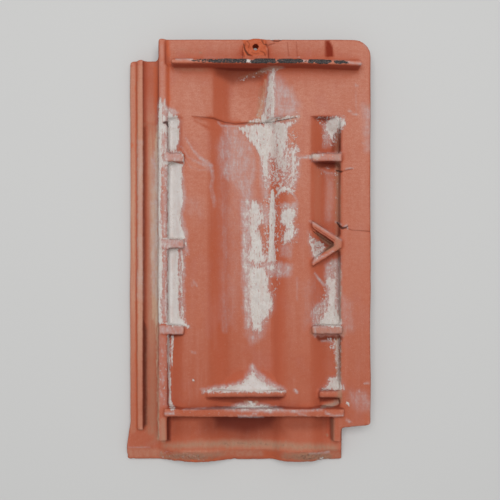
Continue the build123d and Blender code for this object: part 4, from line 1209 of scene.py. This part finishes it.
def weathered_clay():
    """Matt terracotta with dust, wear, tar, dirt, growth and lime where the skin is marked, and painted shade
    and painted light on slopes, walls, corners, hollows and under ledges.
    """
    clay = Finish("weathered_clay")
    broad = clay.rise(clay.noise(14, 2.0), 0.35, 0.65)
    mottle = clay.rise(clay.noise(60, 4.0, 0.6, (1.0, 0.45, 1.0)), 0.3, 0.7)
    brushed = clay.rise(clay.noise(260, 4.0, 0.6, (1.0, 0.06, 1.0)), 0.3, 0.7)
    pressed = clay.rise(clay.noise(520, 3.0, 0.6, (0.07, 1.0, 1.0)), 0.35, 0.65)
    grain = clay.noise(900, 5.0, 0.65)
    speck = clay.rise(clay.noise(1300, 2.0, 0.5), 0.62, 0.72)
    clay.colour = clay.blend(broad, paint(170, 88, 62), paint(175, 98, 74))
    clay.coat(clay.times(mottle, 0.5), paint(162, 82, 58))
    redder = clay.rise(clay.noise(190, 5.0, 0.7, (0.5, 1.0, 1.0)), 0.48, 0.66, 0.0, 0.35)
    clay.coat(redder, paint(164, 78, 52))
    settled = clay.times(clay.rise(mottle, 0.0, 1.0, 0.75, 1.0), clay.rise(grain, 0.35, 0.65, 0.7, 1.0))
    patchy = clay.rise(clay.noise(330, 5.0, 0.7, (0.6, 1.0, 1.0)), 0.36, 0.64, 0.75, 1.1)
    settled = clay.times(settled, patchy)
    dust = clay.times(clay.mark("dust"), settled)
    dust = clay.times(dust, clay.rise(pressed, 0.0, 1.0, 0.92, 1.0))
    clay.coat(clay.times(dust, 0.98), paint(196, 136, 116))
    mauve = clay.rise(clay.noise(42, 4.0, 0.6, (1.0, 0.6, 1.0)), 0.5, 0.68, 0.0, 0.3)
    clay.coat(mauve, paint(176, 110, 98))
    washed = clay.rise(clay.noise(150, 4.0, 0.6, (1.0, 0.07, 1.0)), 0.48, 0.7, 0.0, 0.22)
    clay.coat(clay.times(washed, clay.rise(mottle, 0.2, 0.8)), paint(190, 130, 112))
    clay.coat(clay.times(brushed, 0.1), paint(158, 82, 58))
    sandy = clay.rise(clay.noise(740, 3.0, 0.65), 0.34, 0.66)
    clay.coat(clay.times(sandy, 0.14), paint(148, 72, 50))
    clay.coat(clay.times(speck, 0.3), paint(212, 162, 142))
    # Painted light on the slopes
    clay.coat(clay.times(clay.mark("painted_slope_light"), 0.6), paint(184, 91, 62))
    # Painted shade on the walls
    clay.coat(clay.times(clay.mark("wall"), 0.55), paint(146, 54, 31))
    # Painted shade: places that see less sky are painted a darker, redder clay
    clay.coat(clay.rise(clay.mark("hidden_sky"), 0.25, 0.8, 0.0, 0.5), paint(160, 66, 41))
    # Pale tan bleaching, and painted light under the nib and on the far slope
    bleach_and_painted_light = clay.times(clay.mark("bleach_and_painted_light"), clay.rise(brushed, 0.0, 1.0, 0.55, 1.05))
    bleach_and_painted_light = clay.times(bleach_and_painted_light, clay.rise(grain, 0.35, 0.6, 0.75, 1.0))
    clay.coat(bleach_and_painted_light, paint(190, 148, 124))
    broken = clay.times(clay.mark("broken"), clay.rise(grain, 0.3, 0.6, 0.4, 1.0))
    clay.coat(broken, paint(188, 92, 56))
    worn = clay.times(clay.mark("worn"), clay.rise(clay.noise(300, 4.0, 0.7), 0.35, 0.65))
    clay.coat(clay.times(worn, 0.55), paint(206, 150, 130))
    # Painted shade in the inner corners
    clay.coat(clay.times(clay.mark("corner_shade"), 0.45), paint(118, 54, 36))
    # Painted shade: dark red-brown where shadows fall
    clay.coat(clay.times(clay.mark("painted_shade"), 0.97), paint(92, 30, 18))
    # Painted shade in the raked hollow
    clay.coat(clay.times(clay.mark("raked"), 0.95), paint(124, 38, 18))
    aged = clay.times(clay.mark("weather"), clay.rise(clay.noise(45, 6.0, 0.65), 0.45, 0.7, 0.05, 0.7))
    clay.coat(aged, paint(128, 104, 86))
    streaked = clay.noise(420, 5.0, 0.7, (1.0, 0.2, 1.0))
    dirt = clay.times(clay.mark("dirt"), clay.rise(streaked, 0.3, 0.6, 0.45, 1.0))
    clay.coat(dirt, paint(156, 120, 98))
    pitted = clay.rise(clay.mark("dirt"), 0.6, 0.95, 0.0, 0.6)
    pits = clay.times(clay.rise(clay.noise(330, 5.0, 0.7), 0.5, 0.62), pitted)
    clay.coat(pits, paint(98, 60, 48))
    clay.coat(clay.rise(clay.mark("dirt"), 0.97, 1.0, 0.0, 0.8), paint(66, 38, 28))
    growth = clay.times(clay.mark("growth"), clay.rise(streaked, 0.3, 0.6, 0.3, 1.0))
    clay.coat(growth, paint(194, 174, 150))
    # Dark score lines, and painted shadow along the steps
    clay.coat(clay.times(clay.mark("score_and_step_shadow"), 0.7), paint(112, 44, 28))
    streaky = clay.noise(520, 4.0, 0.65, (1.0, 0.14, 1.0))
    blotchy = clay.noise(170, 4.0, 0.6, (1.0, 0.5, 1.0))
    crumbly = clay.noise(560, 4.0, 0.65, (1.0, 0.6, 1.0))
    film = clay.times(clay.mark("film"), clay.rise(blotchy, 0.3, 0.7, 0.55, 1.3))
    film = clay.times(film, clay.rise(streaky, 0.3, 0.7, 0.75, 1.25))
    film = clay.times(film, clay.rise(pressed, 0.0, 1.0, 0.9, 1.08))
    film = clay.times(film, clay.rise(crumbly, 0.3, 0.7, 0.7, 1.25))
    in_streaks = clay.calculate("SUBTRACT", streaky, 0.5)
    in_crumbs = clay.calculate("SUBTRACT", crumbly, 0.5)
    worn_away = clay.calculate("MULTIPLY_ADD", in_streaks, 1.4, in_crumbs)
    worn_away = clay.times(worn_away, clay.rise(clay.mark("lime"), 0.0, 0.25, 0.0, 1.8))
    torn = clay.calculate("ADD", worn_away, clay.mark("lime"))
    crust = clay.rise(torn, 0.14, 0.9, 0.0, 0.97)
    # Painted shadow: a thin brown line just outside the edges of the lime crust
    crust_edge_shadow = clay.calculate("SUBTRACT", clay.rise(torn, 0.04, 0.2), clay.rise(torn, 0.2, 0.46))
    crust_edge_shadow = clay.times(crust_edge_shadow, clay.rise(clay.noise(260, 4.0, 0.7), 0.42, 0.62, 0.0, 0.5))
    clay.coat(crust_edge_shadow, paint(132, 86, 62))
    gaps = clay.times(clay.rise(clay.noise(470, 4.0, 0.7, (1.0, 0.6, 1.0)), 0.56, 0.66), clay.mark("flecks"))
    clay.coat(clay.times(gaps, 0.5), paint(128, 80, 58))
    flecky = clay.noise(430, 6.0, 0.72, (1.0, 0.8, 1.0))
    fleck_mark = clay.calculate("MULTIPLY_ADD", clay.mark("flecks"), 0.3, flecky)
    flecks = clay.times(clay.rise(fleck_mark, 0.66, 0.8), clay.rise(clay.mark("flecks"), 0.1, 0.3, 0.0, 0.85))
    lime = clay.calculate("MAXIMUM", clay.calculate("MAXIMUM", crust, film), flecks)
    dull = clay.rise(clay.noise(160, 5.0, 0.7), 0.35, 0.7)
    chalk_and_painted_light = clay.blend(dull, paint(203, 199, 194), paint(189, 183, 178))
    chalk_and_painted_light = clay.blend(clay.rise(streaky, 0.5, 0.64, 0.0, 0.42), chalk_and_painted_light, paint(184, 170, 158))
    # Painted light: the strongest lime is painted whiter where it lies in shade
    chalk_and_painted_light = clay.blend(clay.rise(clay.mark("lime"), 1.06, 1.26, 0.0, 0.45), chalk_and_painted_light, paint(212, 207, 206))
    blushed = clay.rise(clay.noise(120, 4.0, 0.65, (1.0, 0.3, 1.0)), 0.5, 0.66, 0.0, 0.4)
    chalk_and_painted_light = clay.blend(blushed, chalk_and_painted_light, paint(190, 166, 158))
    clay.coat(lime, clay.blend(clay.rise(lime, 0.4, 0.9), paint(180, 177, 179), chalk_and_painted_light))
    tar_gaps = clay.calculate("SUBTRACT", clay.noise(800, 5.0, 0.75), 0.5)
    tar = clay.rise(clay.calculate("MULTIPLY_ADD", tar_gaps, 2.4, clay.mark("tar")), 0.5, 0.62)
    black = clay.blend(clay.rise(grain, 0.45, 0.7), paint(38, 33, 33), paint(96, 88, 86))
    clay.coat(tar, black)
    # Dark cracks; the one along the head step is a painted shadow line
    clay.coat(clay.times(clay.mark("crack"), 0.9), paint(66, 34, 27))
    clay.set(clay.shader.inputs["Base Color"], clay.colour)
    clay.set(clay.shader.inputs["Roughness"], clay.rise(tar, 0.0, 1.0, 0.9, 0.6))
    clay.shader.inputs["Specular IOR Level"].default_value = 0.25
    clay.roughen(clay.calculate("MULTIPLY_ADD", lime, 0.6, grain), 0.55, 0.0004)
    return clay.material


def lime_crumb_finish():
    """Chalky crumbs, some stained by the clay."""
    crumb = Finish("lime_crumb")
    stain = crumb.rise(crumb.noise(90, 3.0, 0.6), 0.4, 0.7)
    crumb.colour = crumb.blend(stain, paint(204, 198, 190), paint(184, 156, 138))
    grain = crumb.noise(1400, 4.0, 0.6)
    crumb.coat(crumb.rise(grain, 0.45, 0.7, 0.0, 0.35), paint(160, 142, 128))
    crumb.set(crumb.shader.inputs["Base Color"], crumb.colour)
    crumb.set(crumb.shader.inputs["Roughness"], crumb.rise(grain, 0.3, 0.7, 0.86, 0.96))
    crumb.roughen(grain, 0.5, 0.0002)
    return crumb.material


def crumb_tree(finish):
    """Geometry nodes that scatter small flat crumbs where lime lies thick."""
    tree = bpy.data.node_groups.new("lime_crumbs", "GeometryNodeTree")
    tree.interface.new_socket("Geometry", in_out="INPUT", socket_type="NodeSocketGeometry")
    for name in ("Crumbs per square metre", "Smallest crumb", "Largest crumb"):
        tree.interface.new_socket(name, in_out="INPUT", socket_type="NodeSocketFloat")
    tree.interface.new_socket("Seed", in_out="INPUT", socket_type="NodeSocketInt")
    tree.interface.new_socket("Geometry", in_out="OUTPUT", socket_type="NodeSocketGeometry")
    nodes = tree.nodes
    link = tree.links.new
    given = nodes.new("NodeGroupInput")
    made = nodes.new("NodeGroupOutput")
    lime = nodes.new("GeometryNodeInputNamedAttribute")
    lime.data_type = "FLOAT"
    lime.inputs["Name"].default_value = "lime"
    thick = nodes.new("ShaderNodeMapRange")
    thick.inputs["From Min"].default_value = CRUMBS_FROM_LIME
    thick.inputs["From Max"].default_value = 1.0
    link(lime.outputs["Attribute"], thick.inputs["Value"])
    scatter = nodes.new("GeometryNodeDistributePointsOnFaces")
    scatter.distribute_method = "POISSON"
    scatter.inputs["Distance Min"].default_value = CRUMB_SPACING
    link(given.outputs["Geometry"], scatter.inputs["Mesh"])
    link(given.outputs["Crumbs per square metre"], scatter.inputs["Density Max"])
    link(thick.outputs["Result"], scatter.inputs["Density Factor"])
    link(given.outputs["Seed"], scatter.inputs["Seed"])
    grit = nodes.new("GeometryNodeMeshIcoSphere")
    grit.inputs["Radius"].default_value = 1.0
    grit.inputs["Subdivisions"].default_value = 1
    flat = nodes.new("GeometryNodeTransform")
    flat.inputs["Scale"].default_value = CRUMB_SHAPE
    link(grit.outputs["Mesh"], flat.inputs["Geometry"])
    size = nodes.new("FunctionNodeRandomValue")
    size.data_type = "FLOAT"
    link(given.outputs["Smallest crumb"], size.inputs[2])
    link(given.outputs["Largest crumb"], size.inputs[3])
    link(given.outputs["Seed"], size.inputs["Seed"])
    place = nodes.new("GeometryNodeInstanceOnPoints")
    link(scatter.outputs["Points"], place.inputs["Points"])
    link(flat.outputs["Geometry"], place.inputs["Instance"])
    link(scatter.outputs["Rotation"], place.inputs["Rotation"])
    link(size.outputs[1], place.inputs["Scale"])
    real = nodes.new("GeometryNodeRealizeInstances")
    link(place.outputs["Instances"], real.inputs["Geometry"])
    coat = nodes.new("GeometryNodeSetMaterial")
    coat.inputs["Material"].default_value = finish
    link(real.outputs["Geometry"], coat.inputs["Geometry"])
    link(coat.outputs["Geometry"], made.inputs["Geometry"])
    return tree


def lime_crumbs(tile):
    """A plain mesh of all the crumbs on the tile."""
    tree = crumb_tree(lime_crumb_finish())
    crumbs = bpy.data.objects.new("lime_crumbs", tile.data.copy())
    bpy.context.scene.collection.objects.link(crumbs)
    modifier = crumbs.modifiers.new("crumbs", "NODES")
    modifier.node_group = tree
    sizes = {
        "Crumbs per square metre": CRUMBS_PER_SQUARE_METRE,
        "Smallest crumb": SMALLEST_CRUMB,
        "Largest crumb": LARGEST_CRUMB,
        "Seed": CRUMB_SEED,
    }
    for socket in tree.interface.items_tree:
        if socket.item_type == "SOCKET" and socket.in_out == "INPUT" and socket.name in sizes:
            modifier[socket.identifier] = sizes[socket.name]
    finish_modifier(crumbs, modifier)
    return crumbs


def studio():
    """A plain pale floor, an even sky and one wide soft lamp above, a little towards the head."""
    scene = bpy.context.scene
    scene.view_settings.view_transform = "Standard"
    bpy.ops.mesh.primitive_plane_add(size=FLOOR_SIDE)
    floor = bpy.context.object
    floor.name = "floor"
    pale = bpy.data.materials.new("pale_floor")
    pale.use_nodes = True
    shader = pale.node_tree.nodes["Principled BSDF"]
    shader.inputs["Base Color"].default_value = paint(198, 198, 197)
    shader.inputs["Roughness"].default_value = 0.95
    floor.data.materials.append(pale)
    world = bpy.data.worlds.new("even_sky")
    world.use_nodes = True
    sky = world.node_tree.nodes["Background"]
    sky.inputs["Color"].default_value = (1, 1, 1, 1)
    sky.inputs["Strength"].default_value = SKY_STRENGTH
    scene.world = world
    lamp = bpy.data.lights.new("wide_lamp", "AREA")
    lamp.shape = "RECTANGLE"
    lamp.size, lamp.size_y = LAMP_SIDES
    lamp.energy = LAMP_WATTS
    panel = bpy.data.objects.new("wide_lamp", lamp)
    panel.location = LAMP_STAND
    panel.rotation_euler = (-panel.location).to_track_quat("-Z", "Y").to_euler()
    scene.collection.objects.link(panel)
    lens = bpy.data.cameras.new("camera")
    lens.lens = LENS_MM
    lens.sensor_width = SENSOR_MM
    camera = bpy.data.objects.new("camera", lens)
    camera.location = CAMERA_STAND
    scene.collection.objects.link(camera)
    scene.camera = camera


studio()
tile = pressed_skin()
thin_weather_face(tile)
refine_fine_lines(tile)
work_the_clay(tile)
mark_the_clay(tile)
tile.data.materials.append(weathered_clay())
tile.data.shade_smooth()
crumbs = lime_crumbs(tile)

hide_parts("roof_tile")
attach(tile, "root")
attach(crumbs, "root")

bpy.context.view_layer.update()
for piece in (tile, crumbs):
    piece.data.calc_loop_triangles()
    print(piece.name, len(piece.data.loop_triangles), "triangles")
